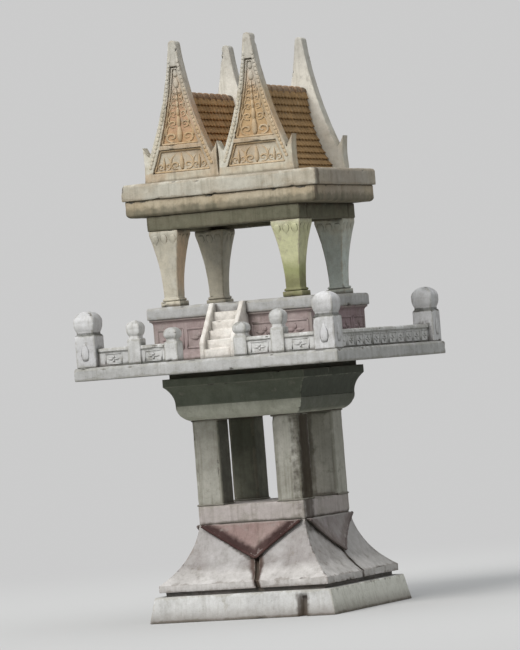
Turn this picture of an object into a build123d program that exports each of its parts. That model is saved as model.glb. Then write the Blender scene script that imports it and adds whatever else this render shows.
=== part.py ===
from build123d import *

import math
import os

# A spirit house of cast and rendered concrete: a twin-gabled shrine on a
# railed terrace, carried by an open pedestal of four legs on a splayed foot.
# X runs along the front, the front faces -Y, Z is up, in millimetres.
# The origin is on the ground under the middle of the house.

# Ground slab
slab_width = 664
slab_batter = 17
slab_height = 85

# Splayed foot with a groove and a pointed apron on each face
joint_width = 570
joint_height = 14
foot_width = 603
foot_lip = 22
foot_height = 210
foot_hollow = 22
foot_groove_width = 16
foot_groove_depth = 14
apron_drop = 115
apron_proud = 12
apron_inset = 6

# Pedestal of four legs
shaft_width = 380
sill_height = 62
leg_width = 92
leg_height = 284
leg_chamfer = 5

# Cornice that spreads from the legs to the terrace
cornice_start = 4
cornice_roll = 9
cornice_hollow = 8
cornice_lower_spread = 36
cornice_lower_height = 50
cornice_upper_spread = 28
cornice_upper_height = 92
cornice_fascia = 26
neck_inset = 18
neck_height = 15

# Terrace and its low wall
terrace_width = 938
terrace_thickness = 43
terrace_chamfer = 5
wall_setback = 8
wall_thickness = 34
wall_height = 60
coping_height = 13
coping_proud = 4
entrance_width = 200

# Corner posts, piers in the front walls and entrance newels
post_width = 72
post_height = 105
post_bud_height = 68
newel_width = 46
newel_height = 62
newel_bud_height = 36
pier_offset = 255
pier_height = 80
pier_bud_height = 51
bud_shoulder = 5
bud_neck_height = 7
bud_neck_inset = 6
bud_belly_share = 0.42
bud_roll = 2
bud_fullness = 0.24

# House floor and the stair in front of it
plinth_width = 570
plinth_depth = 450
plinth_height = 140
plinth_edge = 6
plinth_base_height = 24
plinth_base_proud = 12
plinth_base_roll = 3
plinth_crown_height = 20
plinth_crown_proud = 9
plinth_crown_hollow = 3
floor_proud = 15
floor_thickness = 40
floor_chamfer = 5
stair_width = 92
stair_setback = 110
stair_steps = 6
cheek_width = 16
cheek_rise = 22

# Columns
column_spacing_x = 440
column_spacing_y = 360
column_width = 52
column_base_width = 70
column_base_height = 18
column_ring = 5
column_height = 252
capital_width = 104
capital_height = 218
capital_hollow = 6
abacus_height = 14

# Beams and eaves
beam_width = 60
beam_height = 50
beam_overhang = 55
eave_width = 700
eave_depth = 515
eave_step = 8
eave_round = 14
eave_lower_height = 55
eave_upper_height = 55
eave_chamfer = 6

# Twin roofs and their pointed gable boards
gable_width = 270
gable_height = 460
gable_thickness = 40
gable_spacing_y = 427
gable_tip_radius = 13
ngao_height = 118
ngao_root = 82
ngao_width = 23
ngao_waist = 4
ngao_crook = 2
gable_hollow = 14
gable_pocket_depth = 12
gable_pocket_drop = 72
gable_base_board = 28
gable_rail_z = 104
gable_rail_height = 14
roof_width = 184
roof_ridge_height = 276
roof_hollow = 20
roof_courses = 12
course_lip = 5
ridge_radius = 12

os.makedirs("parts", exist_ok=True)

CORNERS = {
    "front_left": (-1, -1),
    "front_right": (1, -1),
    "back_left": (-1, 1),
    "back_right": (1, 1),
}


def save(piece, name):
    piece.part.label = name
    export_step(piece.part, f"parts/{name}.step")


def moulded(outline, half_x, half_y, centre=(0, 0)):
    """A four-sided mass whose moulded outline runs round its faces and mitres at the corners."""
    across = Plane((*centre, 0), x_dir=(1, 0, 0), z_dir=(0, -1, 0))
    along = Plane((*centre, 0), x_dir=(0, 1, 0), z_dir=(1, 0, 0))
    with BuildPart() as mass:
        with BuildSketch(across):
            with BuildLine():
                outline(half_x)
                mirror(about=Plane.YZ)
            make_face()
        extrude(amount=2 * half_y, both=True)
        with BuildSketch(along):
            with BuildLine():
                outline(half_y)
                mirror(about=Plane.YZ)
            make_face()
        extrude(amount=2 * half_x, both=True, mode=Mode.INTERSECT)
    return mass


# Heights of the courses above the ground
joint_z = slab_height
foot_z = joint_z + joint_height
sill_z = foot_z + foot_height
leg_z = sill_z + sill_height
cornice_z = leg_z + leg_height
cornice_upper_z = cornice_z + cornice_lower_height
neck_z = cornice_upper_z + cornice_upper_height
terrace_z = neck_z + neck_height
terrace_top = terrace_z + terrace_thickness
floor_z = terrace_top + plinth_height
floor_top = floor_z + floor_thickness
beam_z = floor_top + column_height
eave_z = beam_z + beam_height
eave_upper_z = eave_z + eave_lower_height
roof_z = eave_upper_z + eave_upper_height

# Ground slab, battered
with BuildPart() as ground_slab:
    with BuildSketch():
        Rectangle(slab_width, slab_width)
    extrude(amount=slab_height, taper=math.degrees(math.atan(slab_batter / slab_height)))
save(ground_slab, "ground_slab")


# Splayed foot: a hollow curve from the toe up to the legs, split by a groove in each face
def foot_outline(half, grow=0):
    toe = half + grow
    top = shaft_width / 2 + grow
    lip_z = foot_z + foot_lip
    Polyline((0, foot_z), (toe, foot_z), (toe, lip_z))
    SagittaArc((toe, lip_z), (top, sill_z), foot_hollow)
    Line((top, sill_z), (0, sill_z))


def foot_core_outline(half):
    foot_outline(half, -foot_groove_depth)


foot_half = foot_width / 2
foot_core = moulded(foot_core_outline, foot_half, foot_half)
foot_skin = moulded(foot_outline, foot_half, foot_half)
with BuildPart() as foot_base:
    add(foot_skin.part)
    with BuildSketch(Plane.XY.offset(foot_z)):
        Rectangle(foot_groove_width, foot_width)
        Rectangle(foot_width, foot_groove_width)
    extrude(amount=foot_height - apron_drop, mode=Mode.SUBTRACT)
    add(foot_core.part)
    with BuildSketch(Plane.XY.offset(joint_z)):
        Rectangle(joint_width, joint_width)
    extrude(amount=joint_height)
save(foot_base, "foot_base")

# Pointed aprons that lie on the hollow faces of the foot
for side, angle in (("front", 0), ("right", 90), ("back", 180), ("left", 270)):
    turn = math.radians(angle)
    outward = Vector(math.sin(turn), -math.cos(turn), 0)
    along = Vector(math.cos(turn), math.sin(turn), 0)
    face_plane = Plane((0, 0, 0), x_dir=along, z_dir=outward)
    section_plane = Plane((0, 0, 0), x_dir=outward, z_dir=along * -1)
    with BuildPart() as apron:
        with BuildSketch(face_plane):
            with BuildLine():
                Polyline(
                    (apron_inset - shaft_width / 2, sill_z),
                    (shaft_width / 2 - apron_inset, sill_z),
                    (0, sill_z - apron_drop),
                    close=True,
                )
            make_face()
        extrude(amount=foot_width)
        with BuildSketch(section_plane):
            with BuildLine():
                foot_outline(foot_half, apron_proud)
                Line((0, sill_z), (0, foot_z))
            make_face()
        extrude(amount=foot_width, both=True, mode=Mode.INTERSECT)
        with BuildSketch(section_plane):
            with BuildLine():
                foot_outline(foot_half)
                Line((0, sill_z), (0, foot_z))
            make_face()
        extrude(amount=foot_width, both=True, mode=Mode.SUBTRACT)
    save(apron, f"apron_{side}")

# Pedestal sill and its four legs
with BuildPart() as pedestal_sill:
    with BuildSketch(Plane.XY.offset(sill_z)):
        Rectangle(shaft_width, shaft_width)
    extrude(amount=sill_height)
save(pedestal_sill, "pedestal_sill")

leg_offset = (shaft_width - leg_width) / 2
for corner, (side_x, side_y) in CORNERS.items():
    with BuildPart() as leg:
        with BuildSketch(Plane.XY.offset(leg_z)):
            with Locations((side_x * leg_offset, side_y * leg_offset)):
                Rectangle(leg_width, leg_width)
        extrude(amount=leg_height)
        chamfer(leg.edges().filter_by(Axis.Z), leg_chamfer)
    save(leg, f"leg_{corner}")


# Cornice: a rounded course over the legs and a hollow one up to the terrace
def cornice_lower_outline(half):
    foot = half + cornice_start
    top = half + cornice_lower_spread
    Line((0, cornice_z), (foot, cornice_z))
    SagittaArc((foot, cornice_z), (top, cornice_upper_z), -cornice_roll)
    Line((top, cornice_upper_z), (0, cornice_upper_z))


def cornice_upper_outline(half):
    foot = half + cornice_lower_spread
    top = foot + cornice_upper_spread
    fascia_z = neck_z - cornice_fascia
    neck = top - neck_inset
    Line((0, cornice_upper_z), (foot, cornice_upper_z))
    SagittaArc((foot, cornice_upper_z), (top, fascia_z), cornice_hollow)
    Polyline((top, fascia_z), (top, neck_z), (neck, neck_z), (neck, terrace_z), (0, terrace_z))


shaft_half = shaft_width / 2
save(moulded(cornice_lower_outline, shaft_half, shaft_half), "cornice_lower")
save(moulded(cornice_upper_outline, shaft_half, shaft_half), "cornice_upper")

# Terrace slab
with BuildPart() as terrace_slab:
    with BuildSketch(Plane.XY.offset(terrace_z)):
        Rectangle(terrace_width, terrace_width)
    extrude(amount=terrace_thickness)
    chamfer(terrace_slab.faces().sort_by(Axis.Z)[-1].edges(), terrace_chamfer)
save(terrace_slab, "terrace_slab")

# Corner posts and entrance newels: a square shaft, a neck and a four-sided bud
post_offset = terrace_width / 2 - wall_setback - post_width / 2
newel_offset = (entrance_width + newel_width) / 2


def budded_post(centre, width, shaft, bud):
    def outline(half):
        neck = half - bud_neck_inset
        shoulder_z = terrace_top + shaft
        neck_z = shoulder_z + bud_shoulder
        bud_z = neck_z + bud_neck_height
        belly_z = bud_z + bud_belly_share * bud
        Polyline((0, terrace_top), (half, terrace_top), (half, shoulder_z), (neck, neck_z), (neck, bud_z))
        dome = bud_fullness * math.hypot(half, bud_z + bud - belly_z)
        SagittaArc((neck, bud_z), (half, belly_z), -bud_roll)
        SagittaArc((half, belly_z), (0, bud_z + bud), -dome)

    return moulded(outline, width / 2, width / 2, centre)


for corner, (side_x, side_y) in CORNERS.items():
    centre = (side_x * post_offset, side_y * post_offset)
    save(budded_post(centre, post_width, post_height, post_bud_height), f"post_{corner}")
for side, side_x in (("left", -1), ("right", 1)):
    centre = (side_x * newel_offset, -post_offset)
    save(budded_post(centre, newel_width, newel_height, newel_bud_height), f"newel_{side}")


# Low terrace walls with a moulded coping, cut to the posts that they run between
def wall_between(line, start, end):
    half = wall_thickness / 2
    top = terrace_top + wall_height
    with BuildPart() as wall:
        with BuildSketch(line.offset(start)):
            with BuildLine():
                Polyline(
                    (0, terrace_top),
                    (half, terrace_top),
                    (half, top - coping_height),
                    (half + coping_proud, top - coping_height),
                    (half + coping_proud, top - coping_proud),
                    (half, top),
                    (0, top),
                )
                mirror(about=Plane.YZ)
            make_face()
        extrude(amount=end - start)
    return wall


post_face = post_offset - post_width / 2
newel_face = entrance_width / 2 + newel_width
front_line = Plane((0, -post_offset, 0), x_dir=(0, 1, 0), z_dir=(1, 0, 0))
back_line = Plane((0, post_offset, 0), x_dir=(0, 1, 0), z_dir=(1, 0, 0))
left_line = Plane((-post_offset, 0, 0), x_dir=(-1, 0, 0), z_dir=(0, 1, 0))
right_line = Plane((post_offset, 0, 0), x_dir=(-1, 0, 0), z_dir=(0, 1, 0))
for side, side_x in (("left", -1), ("right", 1)):
    start, end = sorted((side_x * newel_face, side_x * post_face))
    with BuildPart() as front_wall:
        add(wall_between(front_line, start, end).part)
        pier_centre = (side_x * pier_offset, -post_offset)
        add(budded_post(pier_centre, newel_width, pier_height, pier_bud_height).part)
    save(front_wall, f"terrace_wall_front_{side}")
save(wall_between(back_line, -post_face, post_face), "terrace_wall_back")
save(wall_between(left_line, -post_face, post_face), "terrace_wall_left")
save(wall_between(right_line, -post_face, post_face), "terrace_wall_right")


# House plinth: a rolled base and a hollow crown, which stop at the stair
def plinth_outline(half):
    base = half + plinth_base_proud
    crown = half + plinth_crown_proud
    base_top = terrace_top + plinth_base_height
    crown_z = floor_z - plinth_crown_height
    Polyline((0, terrace_top), (base, terrace_top), (base, terrace_top + plinth_edge))
    SagittaArc((base, terrace_top + plinth_edge), (half, base_top), -plinth_base_roll)
    Line((half, base_top), (half, crown_z))
    SagittaArc((half, crown_z), (crown, floor_z - plinth_edge), plinth_crown_hollow)
    Polyline((crown, floor_z - plinth_edge), (crown, floor_z), (0, floor_z))


stair_span = stair_width + 2 * cheek_width
plinth_mass = moulded(plinth_outline, plinth_width / 2, plinth_depth / 2)
with BuildPart() as house_plinth:
    add(plinth_mass.part)
    with BuildSketch(Plane.XY.offset(terrace_top)):
        with Locations((0, -plinth_depth / 2)):
            Rectangle(stair_span, plinth_depth, align=(Align.CENTER, Align.MAX))
    extrude(amount=plinth_height, mode=Mode.SUBTRACT)
save(house_plinth, "house_plinth")

# Floor slab that oversails the plinth
floor_width = plinth_width + 2 * floor_proud
floor_depth = plinth_depth + 2 * floor_proud
with BuildPart() as house_floor:
    with BuildSketch(Plane.XY.offset(floor_z)):
        Rectangle(floor_width, floor_depth)
    extrude(amount=floor_thickness)
    chamfer(house_floor.faces().sort_by(Axis.Z)[-1].edges(), floor_chamfer)
save(house_floor, "house_floor")

# Front stair: treads up to the floor between two sloping cheeks
riser = (floor_top - terrace_top) / stair_steps
floor_edge = -floor_depth / 2
stair_back = [
    (-plinth_depth / 2, terrace_top),
    (-plinth_depth / 2, floor_z),
    (floor_edge, floor_z),
]
stair_foot = stair_setback - terrace_width / 2
stair_going = (floor_edge - stair_foot) / (stair_steps - 1)
with BuildPart() as front_stair:
    with BuildSketch(Plane.YZ):
        with BuildLine():
            points = stair_back + [(floor_edge, floor_top - riser)]
            for step in range(1, stair_steps):
                nose = floor_edge - stair_going * step
                points += [(nose, floor_top - riser * step), (nose, floor_top - riser * (step + 1))]
            Polyline(*points, close=True)
        make_face()
    extrude(amount=stair_width / 2, both=True)
save(front_stair, "front_stair")

cheek_run = cheek_rise * stair_going / riser
cheek_offset = (stair_width + cheek_width) / 2
with BuildPart() as stair_cheeks:
    with BuildSketch(Plane.YZ.offset(-cheek_offset), Plane.YZ.offset(cheek_offset)):
        with BuildLine():
            Polyline(
                *stair_back,
                (floor_edge, floor_top),
                (floor_edge - cheek_run, floor_top),
                (stair_foot, terrace_top + riser + cheek_rise),
                (stair_foot, terrace_top),
                close=True,
            )
        make_face()
    extrude(amount=cheek_width / 2, both=True)
save(stair_cheeks, "stair_cheeks")


# Columns with a square base, a rolled ring and a capital that spreads like a bell
def column_outline(half):
    base = half + (column_base_width - column_width) / 2
    capital = half + (capital_width - column_width) / 2
    base_top = floor_top + column_base_height
    ring_top = base_top + 2 * column_ring
    bell_z = beam_z - capital_height
    abacus_z = beam_z - abacus_height
    Polyline((0, floor_top), (base, floor_top), (base, base_top), (half, base_top))
    SagittaArc((half, base_top), (half, ring_top), -column_ring)
    Line((half, ring_top), (half, bell_z))
    SagittaArc((half, bell_z), (capital, abacus_z), capital_hollow)
    Polyline((capital, abacus_z), (capital, beam_z), (0, beam_z))


column_half = column_width / 2
for corner, (side_x, side_y) in CORNERS.items():
    centre = (side_x * column_spacing_x / 2, side_y * column_spacing_y / 2)
    save(moulded(column_outline, column_half, column_half, centre), f"column_{corner}")

# Beams on the capitals: the front and back ones run through, the side ones fit between
beam_x = column_spacing_x / 2 + beam_overhang - beam_width / 2
beam_y = column_spacing_y / 2 + beam_overhang - beam_width / 2
for side, side_y in (("front", -1), ("back", 1)):
    with BuildPart() as beam:
        with BuildSketch(Plane.XY.offset(beam_z)):
            with Locations((0, side_y * beam_y)):
                Rectangle(2 * beam_x + beam_width, beam_width)
        extrude(amount=beam_height)
    save(beam, f"beam_{side}")
for side, side_x in (("left", -1), ("right", 1)):
    with BuildPart() as beam:
        with BuildSketch(Plane.XY.offset(beam_z)):
            with Locations((side_x * beam_x, 0)):
                Rectangle(beam_width, 2 * beam_y - beam_width)
        extrude(amount=beam_height)
    save(beam, f"beam_{side}")


# Eaves: a rounded lower course and an upper one that steps out over it
def eave_lower_outline(half):
    edge = half - eave_step
    Line((0, eave_z), (edge - eave_round, eave_z))
    RadiusArc((edge - eave_round, eave_z), (edge, eave_z + eave_round), -eave_round)
    Polyline((edge, eave_z + eave_round), (edge, eave_upper_z), (0, eave_upper_z))


def eave_upper_outline(half):
    Polyline(
        (0, eave_upper_z),
        (half, eave_upper_z),
        (half, roof_z - eave_chamfer),
        (half - eave_chamfer, roof_z),
        (0, roof_z),
    )


save(moulded(eave_lower_outline, eave_width / 2, eave_depth / 2), "eave_lower")
save(moulded(eave_upper_outline, eave_width / 2, eave_depth / 2), "eave_upper")

# Gable boards: pointed and hollow-sided, with an upturned horn at each foot
gable_half = gable_width / 2
slope_foot = gable_half - ngao_width
gable_front = (gable_spacing_y + gable_thickness) / 2
tip_z = gable_height - gable_tip_radius


def gable_slope(drop=0):
    SagittaArc((slope_foot, ngao_root - drop), (gable_tip_radius, tip_z - drop), gable_hollow)


for corner, (side_x, side_y) in CORNERS.items():
    face = Plane(
        (side_x * gable_half, side_y * gable_front, roof_z),
        x_dir=(-side_y, 0, 0),
        z_dir=(0, side_y, 0),
    )
    with BuildPart() as gable:
        with BuildSketch(face):
            with BuildLine():
                Line((0, 0), (gable_half, 0))
                SagittaArc((gable_half, 0), (gable_half, ngao_height), ngao_waist)
                SagittaArc((gable_half, ngao_height), (slope_foot, ngao_root), ngao_crook)
                gable_slope()
                RadiusArc((gable_tip_radius, tip_z), (0, gable_height), -gable_tip_radius)
                mirror(about=Plane.YZ)
            make_face()
        extrude(amount=-gable_thickness)
        with BuildSketch(face):
            with BuildLine():
                Polyline((0, ngao_root - gable_pocket_drop), (slope_foot, ngao_root - gable_pocket_drop))
                gable_slope(gable_pocket_drop)
                Line((gable_tip_radius, tip_z - gable_pocket_drop), (0, tip_z - gable_pocket_drop))
                mirror(about=Plane.YZ)
            make_face()
            with Locations((0, gable_base_board)):
                Rectangle(gable_width, gable_height, align=(Align.CENTER, Align.MIN), mode=Mode.INTERSECT)
            with Locations((0, gable_rail_z)):
                Rectangle(gable_width, gable_rail_height, align=(Align.CENTER, Align.MIN), mode=Mode.SUBTRACT)
        extrude(amount=-gable_pocket_depth, mode=Mode.SUBTRACT)
    save(gable, f"gable_{corner}")

# Twin roofs between the gable boards: tile courses up hollow slopes to a round ridge
roof_length = gable_spacing_y - gable_thickness
roof_half = roof_width / 2
ridge_top = roof_ridge_height + ridge_radius
slope = SagittaArc((roof_half, 0), (ridge_radius, roof_ridge_height), roof_hollow, mode=Mode.PRIVATE)
course_ends = [slope @ (course / roof_courses) for course in range(roof_courses + 1)]
stepped_slope = []
for low, high in zip(course_ends, course_ends[1:]):
    stepped_slope += [(low.X + course_lip, low.Y), (high.X, high.Y)]
for side, side_x in (("left", -1), ("right", 1)):
    section = Plane((side_x * gable_half, 0, roof_z), x_dir=(1, 0, 0), z_dir=(0, -1, 0))
    with BuildPart() as roof:
        with BuildSketch(section):
            with BuildLine():
                Polyline((0, 0), *stepped_slope)
                RadiusArc((ridge_radius, roof_ridge_height), (0, ridge_top), -ridge_radius)
                mirror(about=Plane.YZ)
            make_face()
        extrude(amount=roof_length / 2, both=True)
    save(roof, f"roof_{side}")
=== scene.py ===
import math
from collections import namedtuple
from functools import cache

import bmesh
import bpy
from mathutils import Matrix, Vector
from mathutils.bvhtree import BVHTree


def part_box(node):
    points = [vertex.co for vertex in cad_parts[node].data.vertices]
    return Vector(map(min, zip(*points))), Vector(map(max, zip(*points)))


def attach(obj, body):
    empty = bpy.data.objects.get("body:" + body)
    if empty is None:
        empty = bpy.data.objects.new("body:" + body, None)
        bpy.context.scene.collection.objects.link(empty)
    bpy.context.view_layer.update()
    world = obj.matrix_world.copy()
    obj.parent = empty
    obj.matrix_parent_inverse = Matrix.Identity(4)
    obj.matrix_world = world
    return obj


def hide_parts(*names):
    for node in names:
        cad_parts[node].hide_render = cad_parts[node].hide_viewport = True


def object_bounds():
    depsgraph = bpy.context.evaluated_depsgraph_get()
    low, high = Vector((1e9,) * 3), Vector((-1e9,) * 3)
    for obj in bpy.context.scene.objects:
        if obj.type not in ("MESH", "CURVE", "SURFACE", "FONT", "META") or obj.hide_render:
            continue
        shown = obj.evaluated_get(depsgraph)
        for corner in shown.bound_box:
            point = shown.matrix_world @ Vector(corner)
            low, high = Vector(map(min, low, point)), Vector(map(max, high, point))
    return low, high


bl_info = {
    "name": "Spirit House",
    "version": (1, 0, 0),
    "blender": (4, 5, 0),
    "location": "View3D > Sidebar > Spirit House",
    "description": "Casts, ornaments and weathers a concrete spirit house around its packed model",
    "category": "Object",
}

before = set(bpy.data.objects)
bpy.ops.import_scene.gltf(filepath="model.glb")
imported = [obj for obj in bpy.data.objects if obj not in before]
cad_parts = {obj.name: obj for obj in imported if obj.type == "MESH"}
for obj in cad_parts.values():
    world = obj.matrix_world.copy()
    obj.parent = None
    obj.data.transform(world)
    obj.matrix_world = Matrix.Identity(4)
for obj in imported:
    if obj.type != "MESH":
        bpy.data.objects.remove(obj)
CAD_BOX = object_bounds()


# Places and sizes


def middle(node):
    low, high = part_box(node)
    return (low + high) / 2


RIGHT = (1, 0)
FRONT = (0, -1)
UP = (0, 0, 1)
CORNERS = {"front_left": (-1, -1), "front_right": (1, -1), "back_left": (-1, 1), "back_right": (1, 1)}
SILL_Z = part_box("pedestal_sill")[0].z
TERRACE_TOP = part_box("terrace_slab")[1].z
FLOOR_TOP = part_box("house_floor")[1].z
BEAM_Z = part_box("beam_front")[0].z
ROOF_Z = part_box("eave_upper")[1].z
LEG = middle("leg_back_right")
COLUMN = middle("column_back_right")
BUD_RADIUS = 0.036
POST_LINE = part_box("post_back_right")[1].x - BUD_RADIUS
APRON_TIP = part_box("apron_front")[0].z
APRON_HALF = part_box("apron_front")[1].x
FRONT_FACE = -0.15
NOTCH_X = 0.218
GABLE_LINE = middle("roof_right").x
GABLE_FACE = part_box("gable_back_left")[1].y
GABLE_RISE = 0.365
LOWER_FIELD = (0.028, 0.104)
UPPER_FIELD = (0.118, 0.372)
RIDGE_RISE = 0.276
TILE_ROWS = 12
TILE_EXPOSURE = 0.02426
CAP_LENGTH = 0.0484
RIDGE_RADIUS = 0.0165
WELD = 2e-5
FLAT = math.radians(0.6)
ARRIS_ANGLE = math.radians(24)


def unit(value):
    """The value, kept between 0 and 1."""
    return min(1.0, max(0.0, value))


def quarter_turn(quarter):
    return Matrix.Rotation(math.pi / 2 * quarter, 3, "Z")


# Node trees


class Wire:
    """An output socket. Arithmetic on it adds Math nodes, so a mask is written as an expression."""

    def __init__(self, tree, socket):
        self.tree = tree
        self.socket = socket

    def math(self, operation, *values, clamp=False):
        sockets = dict(enumerate(values))
        return self.tree.add("ShaderNodeMath", sockets, operation=operation, use_clamp=clamp)[0]

    def __add__(self, other):
        return self.math("ADD", self, other)

    __radd__ = __add__

    def __sub__(self, other):
        return self.math("SUBTRACT", self, other)

    def __rsub__(self, other):
        return self.math("SUBTRACT", other, self)

    def __mul__(self, other):
        return self.math("MULTIPLY", self, other)

    __rmul__ = __mul__

    def __pow__(self, other):
        return self.math("POWER", self, other)

    def __mod__(self, other):
        return self.math("MODULO", self, other)

    def most(self, other):
        return self.math("MAXIMUM", self, other)

    def size(self):
        return self.math("ABSOLUTE", self)

    def clamped(self):
        return self.math("ADD", self, 0.0, clamp=True)

    def step(self, low, high):
        """0 below low, 1 above high, smooth between them."""
        sockets = {0: self, 1: low, 2: high, 3: 0.0, 4: 1.0}
        return self.tree.add("ShaderNodeMapRange", sockets, interpolation_type="SMOOTHSTEP", clamp=True)[0]


class Added:
    """A node that was added; its outputs are wires, by index or name."""

    def __init__(self, tree, node):
        self.tree = tree
        self.node = node

    def __getitem__(self, key):
        return Wire(self.tree, self.node.outputs[key])


class Tree:
    """Writes a node tree."""

    def __init__(self, node_tree):
        self.node_tree = node_tree

    def add(self, kind, sockets=None, **settings):
        """A node of a type, with its settings, which come first, and the values or links of its sockets."""
        node = self.node_tree.nodes.new(kind)
        for key, value in settings.items():
            setattr(node, key, value)
        for key, value in (sockets or {}).items():
            socket = node.inputs[key]
            if isinstance(value, Wire):
                self.node_tree.links.new(value.socket, socket)
            else:
                socket.default_value = value
        return Added(self, node)

    def noise(self, point, scale, detail=2.0, rough=0.55):
        """Lumpy noise around one half."""
        sockets = {"Vector": point, "Scale": scale, "Detail": detail, "Roughness": rough}
        return self.add("ShaderNodeTexNoise", sockets)[0]

    def vector(self, operation, *vectors, **sockets):
        sockets.update(enumerate(vectors))
        return self.add("ShaderNodeVectorMath", sockets, operation=operation)[0]

    def combine(self, *values):
        return self.add("ShaderNodeCombineXYZ", dict(enumerate(values)))[0]

    def split(self, vector):
        return self.add("ShaderNodeSeparateXYZ", {0: vector})

    def backdrop_rays(self):
        """1 on the rays that see the plain backdrop, 0 on those that light the object."""
        path = self.add("ShaderNodeLightPath")
        return path["Is Camera Ray"].most(path["Is Glossy Ray"]).most(path["Is Transmission Ray"])


class Finish(Tree):
    """A material's node tree, with the coordinates and masks that the weathered finishes share."""

    def __init__(self, name):
        self.material = bpy.data.materials.new(name)
        self.material.use_nodes = True
        super().__init__(self.material.node_tree)
        self.node_tree.nodes.clear()
        self.point = self.add("ShaderNodeTexCoord")["Object"]
        self.axes = self.split(self.point)
        self.facing = self.split(self.add("ShaderNodeNewGeometry")["Normal"])

    def attribute(self, name):
        return self.add("ShaderNodeAttribute", attribute_name=name)["Fac"]

    def stretched(self, scale, shift=(0.0, 0.0, 0.0)):
        """Object coordinates scaled by axis, for streaks and runs."""
        sockets = {"Vector": self.point, "Location": shift, "Scale": scale}
        return self.add("ShaderNodeMapping", sockets, vector_type="POINT")[0]

    def mix(self, factor, under, over, blend="MIX"):
        sockets = {0: factor, 6: colour(under), 7: colour(over)}
        return self.add("ShaderNodeMix", sockets, data_type="RGBA", blend_type=blend, clamp_factor=True)[2]

    def darker(self, paint, by):
        return self.mix(1.0, paint, by, "MULTIPLY")

    def near(self, centre, size, rag, scale, soft):
        """1 inside a ragged box around a point, 0 outside it; sizes are half widths, or None for no limit."""
        inside = None
        for axis in range(3):
            if size[axis] is None:
                continue
            away = (self.axes[axis] - centre[axis]).size() * (1 / size[axis])
            inside = away if inside is None else inside.most(away)
        ragged = inside + (self.noise(self.point, scale, 3.0) - 0.5) * (2 * rag)
        return 1 - ragged.step(1 - soft, 1 + 0.4 * soft)

    def toward(self, direction):
        """1 on faces that look along a level direction, 0 on the others."""
        return (self.facing[0] * direction[0] + self.facing[1] * direction[1]).step(0.35, 0.75)

    def done(self, base, rough, height, depth, **constants):
        """Ends the tree in a shader whose bump comes from a height in metres."""
        bump = self.add("ShaderNodeBump", {"Strength": 1.0, "Distance": depth, "Height": height})[0]
        sockets = {"Base Color": base, "Roughness": rough, "Normal": bump, **constants}
        shader = self.add("ShaderNodeBsdfPrincipled", sockets)[0]
        self.add("ShaderNodeOutputMaterial", {0: shader})
        return self.material


class Rule(Tree):
    """A geometry tree with named inputs: sizes with their defaults, source objects and the finish."""

    def __init__(self, name, sizes, sources=()):
        super().__init__(bpy.data.node_groups.new(name, "GeometryNodeTree"))
        self.socket("Geometry", "NodeSocketGeometry")
        self.socket("Geometry", "NodeSocketGeometry", "OUTPUT")
        for size, value in sizes.items():
            kind = "NodeSocketInt" if isinstance(value, int) else "NodeSocketFloat"
            self.socket(size, kind).default_value = value
        for source in sources:
            self.socket(source, "NodeSocketObject")
        self.socket("Finish", "NodeSocketMaterial")
        self.given = self.add("NodeGroupInput")

    def socket(self, name, kind, in_out="INPUT"):
        return self.node_tree.interface.new_socket(name=name, in_out=in_out, socket_type=kind)

    def attribute(self, name, kind="FLOAT_VECTOR"):
        return self.add("GeometryNodeInputNamedAttribute", {"Name": name}, data_type=kind)[0]

    def place(self):
        return self.add("GeometryNodeInputPosition")[0]

    def source(self, name):
        """The geometry of an object among the inputs."""
        return self.add("GeometryNodeObjectInfo", {"Object": self.given[name]})["Geometry"]

    def line(self):
        return self.add("GeometryNodeMeshToCurve", {"Mesh": self.given["Geometry"]})[0]

    def points_along(self, spacing):
        """Points at a spacing along the lines that the rule is given."""
        return self.add("GeometryNodeCurveToPoints", {"Curve": self.line(), "Length": spacing}, mode="LENGTH")

    def turn(self, out, up):
        """The turn that takes Z to one direction and Y to the other."""
        axes = {"primary_axis": "Z", "secondary_axis": "Y"}
        return self.add("FunctionNodeAxesToRotation", {0: out, 1: up}, **axes)[0]

    def raised(self, geometry, height):
        """The surface, moved out by a height along its normals."""
        offset = self.vector("SCALE", self.add("GeometryNodeInputNormal")[0], Scale=height)
        return self.add("GeometryNodeSetPosition", {"Geometry": geometry, "Offset": offset})[0]

    def smooth(self, geometry):
        return self.add("GeometryNodeSetShadeSmooth", {"Geometry": geometry, "Shade Smooth": True})[0]

    def realized(self, geometry):
        return self.add("GeometryNodeRealizeInstances", {"Geometry": geometry})[0]

    def done(self, geometry):
        """Ends the tree in Realize Instances and Set Material."""
        sockets = {"Geometry": self.realized(geometry), "Material": self.given["Finish"]}
        finished = self.add("GeometryNodeSetMaterial", sockets)[0]
        self.add("NodeGroupOutput", {"Geometry": finished})
        return self.node_tree


def colour(value):
    return value if isinstance(value, Wire) else (*value[:3], 1.0)


def shade(value, factor):
    return tuple(min(1.0, channel * factor) for channel in value[:3])


# Weathered finishes

CONCRETE = (0.30, 0.28, 0.25)
MOULD = (0.05, 0.052, 0.038)
SOIL = (0.11, 0.076, 0.05)

# A wash or a stain covers a ragged box; some washes are painted light and some stains painted shade.
# None in its half size is no limit, and a side keeps a wash to the faces that look that way.
Wash = namedtuple("Wash", "strength colour centre half_size side", defaults=[None])


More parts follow.
